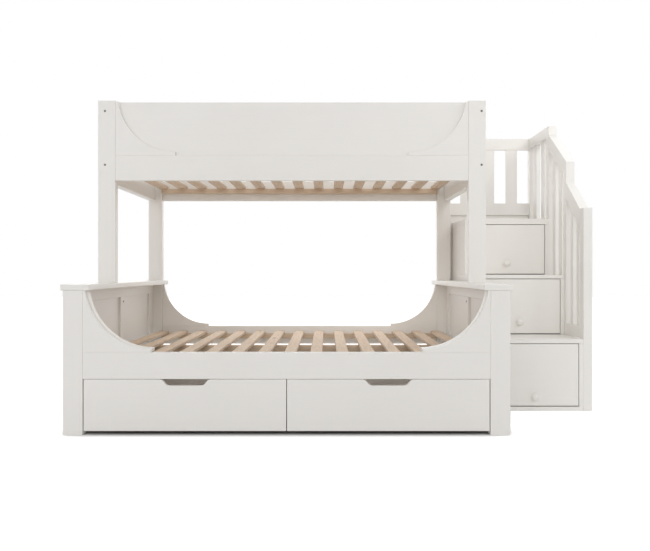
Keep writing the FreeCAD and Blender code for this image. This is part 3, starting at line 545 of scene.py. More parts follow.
def ready(name):
    """Name the newest object."""
    bpy.ops.object.transform_apply(location=True, rotation=True, scale=True)
    bpy.context.object.name = name
    return bpy.context.object


def block(name, low, high):
    """A plain block as an object of its own, ready to be cut."""
    low, high = Vector(low), Vector(high)
    bpy.ops.mesh.primitive_cube_add(size=1, location=(low + high) / 2, scale=high - low)
    return ready(name)


def rod(name, centre, radius, length, axis, steps=CURVE_STEPS):
    """A cylinder along an axis, centred on a point."""
    turn = {"x": (0, math.pi / 2, 0), "y": (math.pi / 2, 0, 0), "z": (0, 0, 0)}[axis]
    bpy.ops.mesh.primitive_cylinder_add(vertices=steps, radius=radius, depth=length,
                                        location=centre, rotation=turn)
    return ready(name)


def cut(piece, cutter):
    """Take the cutter's shape out of the piece."""
    modify(piece, "BOOLEAN", operation="DIFFERENCE", solver="EXACT", object=cutter)
    bpy.data.objects.remove(cutter)


def soften(piece, width=EDGE, steps=ROUND_STEPS):
    """Round every edge of the piece that is sharper than the shading angle."""
    modify(piece, "BEVEL", width=width, segments=steps, limit_method="ANGLE",
           angle_limit=SHADE_ANGLE, material=ORDER.index("edge"))


def join(name, pieces):
    """Join finished pieces into one object and go to edit mode."""
    select_only(pieces[0])
    for piece in pieces:
        piece.select_set(True)
    if len(pieces) > 1:
        bpy.ops.object.join()
    pieces[0].name = name
    bpy.ops.object.mode_set(mode="EDIT")
    return pieces[0]

# %% [markdown]
# ## Three pairs of brackets
# The lower front, lower rear and upper brackets differ only in reach, tip and thickness, so one
# function makes them all, mirrored for the right-hand side. The groove stops short of the blunt
# tip, so that part is cut off its cutter first. The front brackets also carry a strip behind each
# post.

# %% The brackets
BRACKET_REACH = 0.307
BRACKET_TIP = 0.016
GROOVE_AT = 0.022            # groove behind the front of the posts
GROOVE_WIDTH = 0.009
GROOVE_DEPTH = 0.009
UPPER_BRACKET_REACH = 0.312
UPPER_BRACKET_TIP = 0.020
GROOVE_STOP = 0.009          # groove ends this far before the bracket's blunt tip
WELL_PAST = 1.0              # how far a cutter stands out of what it cuts
BED_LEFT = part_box("lower_front_rail")[0][0]
BED_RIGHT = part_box("lower_front_rail")[1][0]


def bracket(node, y_low, y_high, reach, tip, side, grooved=False):
    """One hollow quarter-round bracket in the corner at the left or right of the bed."""
    low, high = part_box(node)
    x_post, inward = (BED_LEFT, 1) if side == "left" else (BED_RIGHT, -1)
    x_tip = x_post + inward * reach
    x_low, x_high = sorted((x_post, x_tip))
    piece = block(f"{node}_{side}", (x_low, y_low, low[2]), (x_high, y_high, high[2]))
    centre = (x_tip, (y_low + y_high) / 2, low[2] + tip + CURVE_RADIUS)
    cut(piece, rod("hollow", centre, CURVE_RADIUS, WELL_PAST, "y"))
    if grooved:
        groove_middle = (x_tip, Y_FRONT + GROOVE_AT + GROOVE_WIDTH / 2, centre[2])
        wheel = rod("groove", groove_middle, CURVE_RADIUS + GROOVE_DEPTH, GROOVE_WIDTH, "y")
        x_low, x_high = sorted((x_tip - inward * GROOVE_STOP, x_tip + inward * WELL_PAST / 2))
        cut(wheel, block("past_tip", (x_low, y_low - WELL_PAST, low[2] - WELL_PAST),
                         (x_high, y_high + WELL_PAST, high[2] + WELL_PAST)))
        cut(piece, wheel)
    dress(piece, PAINT, "x")
    soften(piece)
    return piece


def bracket_pair(node, reach, tip, depth, grooved=False):
    y_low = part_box(node)[0][1]
    return [bracket(node, y_low, y_low + depth, reach, tip, side, grooved) for side in SIDES]


FRONT_BRACKET_DEPTH = 0.070
REAR_BRACKET_DEPTH = 0.028
UPPER_BRACKET_THICK = 0.020
POST_DEPTH = 0.045

front_pair = join("lower_front_bracket_pair",
                  bracket_pair("lower_front_brackets", BRACKET_REACH, BRACKET_TIP,
                               FRONT_BRACKET_DEPTH, True))
low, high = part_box("lower_front_brackets")
for x_post, x_far in ((BED_LEFT, low[0]), (BED_RIGHT, high[0])):
    x_low, x_high = sorted((x_post, x_far))
    board((x_low, Y_FRONT + POST_DEPTH, low[2]), (x_high, high[1], high[2]), "z")
seat(close(front_pair), "lower_front_brackets")
for level, node, reach, tip, thick in (
        ("lower_rear", "lower_rear_brackets", BRACKET_REACH, BRACKET_TIP, REAR_BRACKET_DEPTH),
        ("upper", "upper_brackets", UPPER_BRACKET_REACH, UPPER_BRACKET_TIP, UPPER_BRACKET_THICK)):
    pair = join(level + "_bracket_pair", bracket_pair(node, reach, tip, thick))
    seat(close(pair), node)

# %% [markdown]
# ## Rows of upright boards
# Behind the upper mattress and behind the stair's platform stand rows of upright boards under a top
# rail. The gaps in the long row are shared out evenly, as a joiner sets them out with a story
# stick.

# %% Upper rear guard and platform guard
PICKET_WIDTH = 0.074
PICKET_GAP = 0.079
PICKET_THICK = 0.020
REAR_TOP_RAIL = 0.074
low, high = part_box("upper_rear_guard")
room = high[0] - low[0]
count = int((room - PICKET_GAP) // (PICKET_WIDTH + PICKET_GAP))
gap = (room - count * PICKET_WIDTH) / (count + 1)
boards = [((low[0], low[1], high[2] - REAR_TOP_RAIL), high, "x")]
for index in range(count):
    x = low[0] + gap + index * (PICKET_WIDTH + gap)
    boards.append(((x, low[1], low[2]),
                   (x + PICKET_WIDTH, low[1] + PICKET_THICK, high[2] - REAR_TOP_RAIL), "z"))
boards_piece("upper_rear_guard_row", "upper_rear_guard", boards)

GUARD_LOW_RAIL = 0.079
low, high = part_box("platform_guard")
inset = (high[1] - low[1] - PICKET_THICK) / 2
boards = [(low, (high[0], high[1], low[2] + GUARD_LOW_RAIL), "x"),
          ((low[0], low[1], high[2] - REAR_TOP_RAIL), high, "x")]
x = high[0] - PICKET_GAP
while x - PICKET_WIDTH > low[0]:
    boards.append(((x - PICKET_WIDTH, low[1] + inset, low[2] + GUARD_LOW_RAIL),
                   (x, high[1] - inset, high[2] - REAR_TOP_RAIL), "z"))
    x -= PICKET_WIDTH + PICKET_GAP
boards_piece("platform_guard_row", "platform_guard", boards)

# %% [markdown]
# ## Slats and what carries them
# Fifteen planed pine slats lie on ledgers along both rails of each bed. Their long edges are
# rounded so that they don't wear the mattress. Each is held by a countersunk screw at both ends,
# but these screws are not modelled.

# %% Slats, ledgers and beam
SLAT_COUNT = 15
SLAT_WIDTH = 0.060
SLAT_ROUND = 0.004
for node in ("lower_slats", "upper_slats"):
    low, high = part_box(node)
    slats = begin(node + "_row", PINE)
    for index in range(SLAT_COUNT):
        x = low[0] + index * SLAT_PITCH
        board((x, low[1], low[2]), (x + SLAT_WIDTH, high[1], high[2]), "y", SLAT_ROUND, 3)
    seat(close(slats), node)

LEDGER_WIDTH = 0.045
LEDGER_HEIGHT = 0.031
low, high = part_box("slat_ledgers")
lower_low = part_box("lower_slats")[0][2]
upper_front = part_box("upper_front_rail")[1][1]
boards = []
for y_front, z_high in ((low[1], lower_low), (upper_front, high[2])):
    for y in (y_front, high[1] - LEDGER_WIDTH):
        boards.append(((low[0], y, z_high - LEDGER_HEIGHT),
                       (high[0], y + LEDGER_WIDTH, z_high), "x"))
boards_piece("slat_ledger_set", "slat_ledgers", boards, PINE)

BEAM_HEIGHT = 0.036
BEAM_LEG = 0.036
BEAM_SHOE = (0.060, 0.030)
low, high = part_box("centre_beam")
x_middle = (low[0] + high[0]) / 2
z_beam = high[2] - BEAM_HEIGHT
boards = [((low[0], low[1], z_beam), high, "x"),
          ((x_middle - BEAM_LEG / 2, low[1], low[2]),
           (x_middle + BEAM_LEG / 2, high[1], z_beam), "z")]
for x in (low[0], high[0] - BEAM_SHOE[0]):
    boards.append(((x, low[1], z_beam - BEAM_SHOE[1]), (x + BEAM_SHOE[0], high[1], z_beam), "x"))
boards_piece("centre_beam_set", "centre_beam", boards, PINE)

# %% [markdown]
# ## Upper posts and bed bolts
# The upper posts stand on the cap boards and are bolted through into the end rails. Each bolt's
# head sits at the bottom of a round pocket and has a hexagon socket. The pocket is cut with a
# Boolean.

# %% The posts with their pockets
POCKET_RADIUS = 0.0058
POCKET_DEPTH = 0.009
POCKET_EDGE = 0.0016
HEAD_RADIUS = 0.0055
HEAD_HEIGHT = 0.005
SHANK_RADIUS = 0.003
SHANK_LENGTH = 0.076
SOCKET_RADIUS = 0.0029
SOCKET_DEPTH = 0.0025
ROD_STEPS = 32
FINE_EDGE = 0.0004           # softening of small metal parts
LOW_BOLT_RISE = 0.082        # lower bolt above the rail's underside
HIGH_BOLT_DROP = 0.054       # upper bolt below the post's top
BOLT_HEIGHTS = (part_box("upper_front_rail")[0][2] + LOW_BOLT_RISE,
                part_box("upper_post_front_left")[1][2] - HIGH_BOLT_DROP)
BOLT_INSET = {"left": 0.036, "right": 0.022}
Y_UPPER_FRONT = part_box("upper_post_front_left")[0][1]
Y_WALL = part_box("upper_post_rear_left")[1][1]


def bolt_places():
    """X and Z of each bolt through the upper front posts."""
    columns = (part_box("upper_post_front_left")[0][0] + BOLT_INSET["left"],
               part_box("upper_post_front_right")[1][0] - BOLT_INSET["right"])
    return [(x, z) for x in columns for z in BOLT_HEIGHTS]


for side in SIDES:
    single(f"upper_post_rear_{side}", "z", POST_EDGE, 3)
    node = f"upper_post_front_{side}"
    low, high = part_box(node)
    piece = block(node + "_board", low, high)
    for x, z in bolt_places():
        if low[0] < x < high[0]:
            place = (x, Y_UPPER_FRONT, z)
            cut(piece, rod("pocket", place, POCKET_RADIUS, 2 * POCKET_DEPTH, "y", ROD_STEPS))
    dress(piece, PAINT, "z")
    soften(piece, POCKET_EDGE)
    seat(close(join(node + "_board", [piece])), node)

# %% [markdown]
# ## Bolts, screws and spacers
# What holds the bed together is dark zinc. The bolt's head is a short rod with a hexagon cut into
# it, and its shank is a thinner rod behind. A flat screw sits in the middle stile of each lower
# end, and two spacers hold the stair off the bed. They are all joined into one piece, as in the CAD
# model.

# %% Bolts, screws and spacers
def metal_rod(name, centre, radius, length, axis, edge, edge_steps, steps):
    """A rod of dark zinc with softened ends."""
    made = rod(name, centre, radius, length, axis, steps)
    dress(made, DARK_ZINC, axis)
    soften(made, edge, edge_steps)
    return made


def bolt(x, z):
    """A bolt with a softened head, a hexagon socket and its shank."""
    head_face = Y_UPPER_FRONT + POCKET_DEPTH - HEAD_HEIGHT
    head_middle = (x, head_face + HEAD_HEIGHT / 2, z)
    head = rod("bolt", head_middle, HEAD_RADIUS, HEAD_HEIGHT, "y", ROD_STEPS)
    cut(head, rod("socket", (x, head_face, z), SOCKET_RADIUS, 2 * SOCKET_DEPTH, "y", 6))
    dress(head, DARK_ZINC, "y")
    soften(head, FINE_EDGE)
    seat_y = Y_UPPER_FRONT + POCKET_DEPTH
    shank = rod("shank", (x, seat_y + SHANK_LENGTH / 2, z), SHANK_RADIUS, SHANK_LENGTH, "y", 16)
    dress(shank, DARK_ZINC, "y")
    return [head, shank]


metal = [part for place in bolt_places() for part in bolt(*place)]
STILE_SCREW_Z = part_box("lower_end_left")[1][2] - 0.085       # just under the cap board
STILE_SCREW_HEAD = 0.002
STILE_SCREW_EDGE = 0.0007
SPACER_RADIUS = 0.015
SPACER_EDGE = 0.001
SPACER_Z = 0.105
STAIR_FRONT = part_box("stair_base")[0][1]
for node, face, sign in (("lower_end_left", 1, 1), ("lower_end_right", 0, -1)):
    x_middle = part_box(node)[face][0] + sign * STILE_SCREW_HEAD / 2
    metal.append(metal_rod("stile_screw", (x_middle, Y_FRONT + END_MID_STILE_AT, STILE_SCREW_Z),
                           HEAD_RADIUS, STILE_SCREW_HEAD, "x", STILE_SCREW_EDGE, 3, ROD_STEPS))
gap_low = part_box("lower_end_right")[1][0]
gap_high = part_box("stair_side_left")[0][0]
for y in (STAIR_FRONT + POST_DEPTH, Y_WALL - POST_DEPTH / 2):
    metal.append(metal_rod("spacer", ((gap_low + gap_high) / 2, y, SPACER_Z), SPACER_RADIUS,
                           gap_high - gap_low, "x", SPACER_EDGE, 2, 40))
seat(close(join("bolts_and_spacers", metal)), "joint_bolts")

# %% [markdown]
# ## Under-bed drawers
# Two wide drawers roll on castors under the lower bed. Each front has a finger notch: a long dip
# with rounded shoulders and small hollows at its floor. The dip is a tapered cutter, and the
# shoulders are bevelled afterwards. Behind the front is a box of coated boards.

# %% Drawer fronts with a finger notch
NOTCH_TOP_WIDTH = 0.210
NOTCH_BOTTOM_WIDTH = 0.165
NOTCH_DEPTH = 0.029
NOTCH_HOLLOW = 0.012
NOTCH_SHOULDER = 0.014
NOTCH_PAST = 0.01            # how far the cutter stands out of the drawer front
DRAWER_EDGE = 0.002


def bevel_edges(test, radius, steps):
    """Round, in edit mode, the edges whose two ends pass the test together."""
    spots = bpy.context.object.data.vertices
    select_parts("EDGE", lambda edge: test(*(spots[index].co for index in edge.vertices)))
    bpy.ops.mesh.bevel(offset=radius, segments=steps, profile=0.5, clamp_overlap=False)


def bevel_along_y(test, radius):
    """Round the edges that run front to back and whose ends pass the test."""
    def passes(start, end):
        level = abs(start.x - end.x) + abs(start.z - end.z) < NEAR
        return test(start) and test(end) and level
    bevel_edges(passes, radius, 8)


def notch_cutter(x_middle, y_low, y_high, z_top):
    """A wedge as wide as the notch at the drawer's top edge, with its two lower edges rounded."""
    half = NOTCH_BOTTOM_WIDTH / 2
    flare = (NOTCH_TOP_WIDTH - NOTCH_BOTTOM_WIDTH) / 2
    cutter = block("notch", (x_middle - half, y_low - NOTCH_PAST, z_top - NOTCH_DEPTH),
                   (x_middle + half, y_high + NOTCH_PAST, z_top))
    bpy.ops.object.mode_set(mode="EDIT")
    for sign in (-1, 1):
        pick(lambda spot: spot.z > z_top - NEAR and (spot.x - x_middle) * sign > 0)
        bpy.ops.transform.translate(value=(sign * flare, 0, 0))
    pick(lambda spot: spot.z > z_top - NEAR)
    bpy.ops.mesh.select_mode(type="FACE")
    bpy.ops.mesh.extrude_region_move(TRANSFORM_OT_translate={"value": (0, 0, 2 * NOTCH_PAST)})
    bevel_along_y(lambda spot: spot.z < z_top - NOTCH_DEPTH + NEAR, NOTCH_HOLLOW)
    bpy.ops.object.mode_set(mode="OBJECT")
    return cutter


for side in SIDES:
    node = f"bed_drawer_{side}_front"
    low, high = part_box(node)
    x_middle = (low[0] + high[0]) / 2
    piece = block(node + "_board", low, high)
    cut(piece, notch_cutter(x_middle, low[1], high[1], high[2]))
    select_only(piece)
    bpy.ops.object.mode_set(mode="EDIT")
    near_shoulder = NOTCH_TOP_WIDTH / 2 + 0.002
    bevel_along_y(lambda spot: spot.z > high[2] - NEAR and abs(spot.x - x_middle) < near_shoulder,
                  NOTCH_SHOULDER)
    bpy.ops.object.mode_set(mode="OBJECT")
    dress(piece, PAINT, "x")
    soften(piece, DRAWER_EDGE, 3)
    seat(close(join(node + "_board", [piece])), node)

# %% [markdown]
# ## Drawer boxes
# All five drawers have the same kind of box, so one function makes them. The stair's drawers hang
# on runners: a groove is milled into each side. Such a side is made of three boards here, one above
# the groove, one below it and a thin one behind it, which needs no Boolean.

# %% Drawer boxes
BOX_WALL = 0.015
BED_BOX_FLOOR = (0.006, 0.009)       # rise and thickness of the under-bed drawer's floor
STEP_BOX_FLOOR = (0.008, 0.008)
RUNNER_GROOVE = 0.008
RUNNER_GAP = 0.0003


def drawer_box(node, floor, groove=None):
    """Two sides, an inner front, a back and the floor let in between them; groove is a Z span."""
    low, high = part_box(node)
    inner_low = [low[0] + BOX_WALL, low[1] + BOX_WALL]
    inner_high = [high[0] - BOX_WALL, high[1] - BOX_WALL]
    z_floor = low[2] + floor[0]
    boards = [((inner_low[0], low[1], low[2]), (inner_high[0], inner_low[1], high[2]), "x"),
              ((inner_low[0], inner_high[1], low[2]), (inner_high[0], high[1], high[2]), "x"),
              ((inner_low[0], inner_low[1], z_floor),
               (inner_high[0], inner_high[1], z_floor + floor[1]), "y")]
    for x_low, x_out in ((low[0], low[0]), (inner_high[0], high[0] - RUNNER_GROOVE)):
        if groove is None:
            boards.append(((x_low, low[1], low[2]), (x_low + BOX_WALL, high[1], high[2]), "y"))
            continue
        x_core = x_low + RUNNER_GROOVE if x_out == x_low else x_low
        boards.append(((x_low, low[1], low[2]), (x_low + BOX_WALL, high[1], groove[0]), "y"))
        boards.append(((x_low, low[1], groove[1]), (x_low + BOX_WALL, high[1], high[2]), "y"))
        boards.append(((x_core, low[1], groove[0]),
                       (x_core + BOX_WALL - RUNNER_GROOVE, high[1], groove[1]), "y"))
    return boards_piece(node + "_boards", node, boards, BOARD)


for side in SIDES:
    drawer_box(f"bed_drawer_{side}_box", BED_BOX_FLOOR)

# %% [markdown]
# ## Castors
# Each under-bed drawer stands on four fixed castors: a pressed plate with two cheeks, held by four
# screws, and a nylon wheel that turns on a riveted axle. The wheel is a ring that is extruded into
# a tyre, a web and a hub. One castor is modelled at the origin and copied to each place.

# %% One wheel, turned from a profile
WHEEL_RADIUS = 0.019
WHEEL_WIDTH = 0.018
AXLE_RADIUS = 0.003
AXLE_GAP = 0.00006
WHEEL_STEPS = 48


def turned(name, profile, axis, steps=WHEEL_STEPS):
    """Spin a profile about an axis through the origin; its points are (along the axis, radius)."""
    bpy.ops.mesh.primitive_plane_add(size=0.01)
    piece = bpy.context.object
    piece.name = name
    place = {"x": lambda along, radius: Vector((along, 0, radius)),
             "y": lambda along, radius: Vector((0, along, radius))}[axis]
    turning = {"x": (1, 0, 0), "y": (0, 1, 0)}[axis]
    bpy.ops.object.mode_set(mode="EDIT")
    bpy.ops.mesh.select_mode(type="VERT")
    bpy.ops.mesh.select_all(action="SELECT")
    bpy.ops.mesh.merge(type="CENTER")
    spots = [place(*point) for point in profile]
    bpy.ops.transform.translate(value=spots[0])
    for start, end in zip(spots, spots[1:]):
        bpy.ops.mesh.extrude_vertices_move(TRANSFORM_OT_translate={"value": end - start})
    bpy.ops.mesh.select_all(action="SELECT")
    bpy.ops.mesh.spin(steps=steps, angle=2 * math.pi, center=(0, 0, 0), axis=turning)
    bpy.ops.mesh.select_all(action="SELECT")
    bpy.ops.mesh.remove_doubles(threshold=1e-6)
    bpy.ops.mesh.normals_make_consistent(inside=False)
    bpy.ops.object.mode_set(mode="OBJECT")
    return piece


def wheel_profile():
    """A crowned tyre, a sunk web and a hub on both sides of the wheel, as a closed loop."""
    half = WHEEL_WIDTH / 2
    rim = WHEEL_RADIUS - 0.002
    bore = AXLE_RADIUS + AXLE_GAP
    right = [(half, bore), (half, 0.0062), (half - 0.0006, 0.0068), (half - 0.0035, 0.0068),
             (half - 0.0035, 0.0125), (half - 0.0005, 0.0132), (half, 0.0138), (half, rim - 0.0008)]
    crown = []
    for step in range(9):
        across = half * (1 - step / 4)
        crown.append((across, WHEEL_RADIUS - 0.002 * (across / half) ** 2))
    left = [(-along, radius) for along, radius in reversed(right)]
    return right + crown + left + [right[0]]


def copied(source, name, shift):
    """A copy with its own mesh, moved by shift."""
    select_only(source)
    bpy.ops.object.duplicate(linked=False)
    bpy.ops.transform.translate(value=shift)
    return ready(name)


wheel = turned("wheel", wheel_profile(), "x")
dress(wheel, NYLON, "x")
print("wheel:", len(wheel.data.polygons), "faces")

# %% [markdown]
# ## The castor's body
# A castor is pressed from one sheet: a plate with rounded corners, and two cheeks that narrow
# towards the axle. Here plate and cheeks are thin blocks. The rivet heads of the axle stand just
# out of the cheeks, and four flat screw heads hold the plate.

# %% The pressed castor body
CASTOR_PLATE = 0.046
CASTOR_STEEL = 0.002
CHEEK_GAP = 0.0008
CHEEK_WIDTH = 0.022
CHEEK_FOOT = 0.013
RIVET_HEAD = 0.0004
SCREW_HEAD = 0.0035
SCREW_THICK = 0.0012
SCREW_INSET = 0.007
PLATE_CORNER = 0.006


def castor_body(z_plate):
    """Plate, tapered cheeks, riveted axle and four screw heads, about a wheel at x, y = 0."""
    half = CASTOR_PLATE / 2
    inner = WHEEL_WIDTH / 2 + CHEEK_GAP
    plate = block("castor", (-half, -half, z_plate - CASTOR_STEEL), (half, half, z_plate))
    bpy.ops.object.mode_set(mode="EDIT")
    bevel_edges(lambda start, end: abs(start.z - end.z) > NEAR, PLATE_CORNER, 5)
    bpy.ops.object.mode_set(mode="OBJECT")
    parts = [plate]
    z_foot = WHEEL_RADIUS - CHEEK_FOOT / 2
    for x_low in (-inner - CASTOR_STEEL, inner):
        parts.append(block("cheek", (x_low, -CHEEK_WIDTH / 2, z_foot),
                           (x_low + CASTOR_STEEL, CHEEK_WIDTH / 2, z_plate - CASTOR_STEEL)))
        bpy.ops.object.mode_set(mode="EDIT")
        pick(lambda spot: spot.z < z_foot + NEAR)
        bpy.ops.transform.resize(value=(1, CHEEK_FOOT / CHEEK_WIDTH, 1), center_override=(0, 0, 0))
        bpy.ops.object.mode_set(mode="OBJECT")
    reach = inner + CASTOR_STEEL + RIVET_HEAD
    parts.append(rod("axle", (0, 0, WHEEL_RADIUS), AXLE_RADIUS, 2 * reach, "x", 24))
    for x in (-1, 1):
        for y in (-1, 1):
            spot = (x * (half - SCREW_INSET), y * (half - SCREW_INSET),
                    z_plate - CASTOR_STEEL - SCREW_THICK / 2)
            parts.append(rod("screw", spot, SCREW_HEAD, SCREW_THICK, "z", 20))
    for part in parts:
        dress(part, ZINC, "z")
        soften(part, FINE_EDGE)
    return close(join("castor", parts))


body = castor_body(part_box("bed_drawer_left_castors")[1][2])
for side in SIDES:
    bodies = []
    for row in ("front", "rear"):
        node = f"bed_drawer_{side}_wheels_{row}"
        low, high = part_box(node)
        wheels = []
        for x in (low[0] + WHEEL_WIDTH / 2, high[0] - WHEEL_WIDTH / 2):
            spot = Vector((x, (low[1] + high[1]) / 2, 0))
            wheels.append(copied(wheel, "wheel", spot + Vector((0, 0, WHEEL_RADIUS))))
            bodies.append(copied(body, "castor", spot))
        seat(close(join(node + "_pair", wheels)), node)
    seat(close(join(f"bed_drawer_{side}_castor_set", bodies)), f"bed_drawer_{side}_castors")
for spare in (wheel, body):
    bpy.data.objects.remove(spare)

# %% [markdown]
# ## The stair's carcass
# The stair is a chest in three levels. Boards stand on each tread to carry the next one, and every
# tread runs back to the stair's back board. The drawers hang on wooden runners screwed to the
# sides.

# %% Stair sides and runners
floors = [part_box("stair_base")[1][2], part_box("lower_tread")[1][2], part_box("middle_tread")[1][2]]
ceilings = [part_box(node)[0][2] for node in ("lower_tread", "middle_tread", "platform_board")]
fronts = [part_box(node)[0][1] for node in ("lower_tread", "middle_tread", "platform_board")]
for side in SIDES:
    node = "stair_side_" + side
    low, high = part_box(node)
    boards = [((low[0], front, floor), (high[0], high[1], ceiling), "y")
              for front, floor, ceiling in zip(fronts, floors, ceilings)]
    boards_piece(node + "_boards", node, boards)

RUNNER_HEIGHT = 0.014
LEVELS = ("lower", "middle", "upper")
DRAWER_GAP = 0.003
RUNNER_REACH = 0.0124
runner_low, runner_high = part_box("drawer_runners")
boards = []
grooves = []
for level, floor, ceiling in zip(LEVELS, floors, ceilings):
    box_low, box_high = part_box(f"step_drawer_{level}_box")
    z = (box_low[2] + box_high[2] - RUNNER_HEIGHT) / 2
    grooves.append((z - RUNNER_GAP, z + RUNNER_HEIGHT + RUNNER_GAP))
    for x in (runner_low[0], runner_high[0] - RUNNER_REACH):
        boards.append(((x, box_low[1] + DRAWER_GAP, z),
                       (x + RUNNER_REACH, box_high[1], z + RUNNER_HEIGHT), "y"))
boards_piece("drawer_runner_set", "drawer_runners", boards, PINE)

# %% [markdown]
# ## The stair's back board
# The back board fills the width of the stair. Above the bed's cap board it also reaches over to the
# rear post, so its lower left corner is cut away.

# %% Back board
low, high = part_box("stair_back")
stair_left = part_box("stair_side_left")[0][0]
back = block("stair_back_board", low, high)
cut(back, block("past_cap", [edge - WELL_PAST for edge in low],
                (stair_left, high[1] + WELL_PAST, cap_high[2])))
dress(back, PAINT, "z")
soften(back)
seat(close(join("stair_back_board", [back])), "stair_back")

# %% [markdown]
# ## Stair drawers and their knobs
# A drawer front is a thick board with well rounded front edges, set into the stair with a thin dark
# gap all round. The knob is turned on a lathe: a short waisted neck under a low dome. So its mesh
# is spun as well, from half of its outline.

# %% Stair drawers
KNOB_RADIUS = 0.020
KNOB_NECK = 0.009
KNOB_WAIST = 0.007
KNOB_NECK_LENGTH = 0.012
KNOB_RIM_AT = 0.019
KNOB_LENGTH = 0.030
KNOB_SHADE_ANGLE = math.radians(60)
FRONT_EDGE = 0.0025


def knob_profile():
    """Half the knob's outline, from the drawer front to the tip of the dome; -Y points outwards."""
    foot = [(0.0, 0.0), (0.0, KNOB_NECK + 0.0015), (-0.0012, KNOB_NECK + 0.0012)]
    waist = [(-0.004, KNOB_WAIST + 0.0008), (-0.008, KNOB_WAIST),
             (-KNOB_NECK_LENGTH, KNOB_WAIST + 0.0006)]
    flare = [(-0.0150, KNOB_RADIUS * 0.66), (-KNOB_RIM_AT + 0.0012, KNOB_RADIUS - 0.0012)]
    sag = KNOB_LENGTH - KNOB_RIM_AT
    dome_radius = (KNOB_RADIUS ** 2 + sag ** 2) / (2 * sag)
    widest = math.asin(KNOB_RADIUS / dome_radius)
    dome = []
    for step in range(13):
        angle = widest * (1 - step / 12)
        dome.append((-KNOB_LENGTH + dome_radius * (1 - math.cos(angle)),
                     dome_radius * math.sin(angle)))
    return foot + waist + flare + dome


knob = turned("knob", knob_profile(), "y", 64)
dress(knob, PAINT, "edge")
for level, groove in zip(LEVELS, grooves):
    single(f"step_drawer_{level}_front", "x", FRONT_EDGE, 4)
    drawer_box(f"step_drawer_{level}_box", STEP_BOX_FLOOR, groove)
    node = f"step_drawer_{level}_knob"
    low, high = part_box(node)
    spot = Vector(((low[0] + high[0]) / 2, high[1], (low[2] + high[2]) / 2))
    piece = copied(knob, node + "_turned", spot)
    bpy.ops.object.shade_smooth_by_angle(angle=KNOB_SHADE_ANGLE)
    seat(piece, node)
bpy.data.objects.remove(knob)

# %% [markdown]
# ## The railing
# Three modules climb with the stair. Each has a thick top rail, a low rail along its step and two
# bars between posts. The lower two top rails slope: a board whose far end is lifted before it is
# softened. Posts and bars under a slope are cut to it in the same way.

# %% Where the modules stand and how their rails climb
RAIL_POST_DEPTH = 0.046
SLOPE_RAIL_HEIGHT = 0.092
LEVEL_RAIL_HEIGHT = 0.066
LEVEL_RAIL_EDGE = 0.002
LOW_RAIL_HEIGHT = 0.066
LOW_RAIL_THICK = 0.040
BAR_WIDTHS = (0.038, 0.050, 0.066)
BAR_STARTS = ((0.040, 0.128), (0.054, 0.160), (0.069, 0.223))      # behind the module's post
BAR_THICK = 0.025
NEWEL_TOP = 1.077
NEWEL_RISE = 0.005           # newel above the start of the first slope
SLOPE_END_DROP = 0.053       # end of the second slope below the level rail
RAILINGS = ("lower_railing", "middle_railing", "upper_railing")
post_low, post_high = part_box("railing_posts")
NEWEL_DEPTH = post_high[0] - post_low[0]
MODULE_FRONTS = [post_low[1], post_low[1] + 0.250, post_low[1] + 0.542]
SLOPE_STARTS = (NEWEL_TOP - NEWEL_RISE, 1.361)
SLOPE_ENDS = (1.241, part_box("upper_railing")[1][2] - SLOPE_END_DROP)


def module_span(index):
    """Y where a module's clear space starts and ends."""
    start = MODULE_FRONTS[index] + (NEWEL_DEPTH if index == 0 else RAIL_POST_DEPTH)
    ends = MODULE_FRONTS[1:] + [Y_WALL - RAIL_POST_DEPTH]
    return start, ends[index]


def slope_span(index):
    """Y where a sloping top rail starts and ends."""
    start = module_span(0)[0] if index == 0 else MODULE_FRONTS[index]
    return start, MODULE_FRONTS[index + 1]


def underside(index, y):
    """Height of a top rail's underside."""
    if index == len(RAILINGS) - 1:
        return post_high[2]
    start, end = slope_span(index)
    share = (y - start) / (end - start)
    rise = share * (SLOPE_ENDS[index] - SLOPE_STARTS[index])
    return SLOPE_STARTS[index] + rise - SLOPE_RAIL_HEIGHT


def upright(index, x_span, y_span, z_low):
    """A post or bar whose top is cut to the underside of its module's top rail."""
    z_near, z_far = (underside(index, y) for y in y_span)
    leaning_board((x_span[0], y_span[0], z_low), (x_span[1], y_span[1], z_near),
                  0, z_far - z_near, "z")

# %% [markdown]
# ## Building the railing
# The newel is a plain post, and the post at the second step is cut to the slope like the bars. The
# two posts beside the platform carry the level rail. Then each module gets its top rail, its low
# rail and its bars, the bars in the middle of the top rail's thickness.

# %% Railing posts, rails and bars
posts = begin("railing_post_set", PAINT)
x_span = (post_low[0], post_high[0])
board((post_low[0], MODULE_FRONTS[0], 0), (post_high[0], module_span(0)[0], NEWEL_TOP),
      "z", POST_EDGE, 3)
upright(1, x_span, (MODULE_FRONTS[1], MODULE_FRONTS[1] + RAIL_POST_DEPTH), 0)
for y in (MODULE_FRONTS[2], Y_WALL - RAIL_POST_DEPTH):
    board((post_low[0], y, 0), (post_high[0], y + RAIL_POST_DEPTH, post_high[2]), "z")
seat(close(posts), "railing_posts")

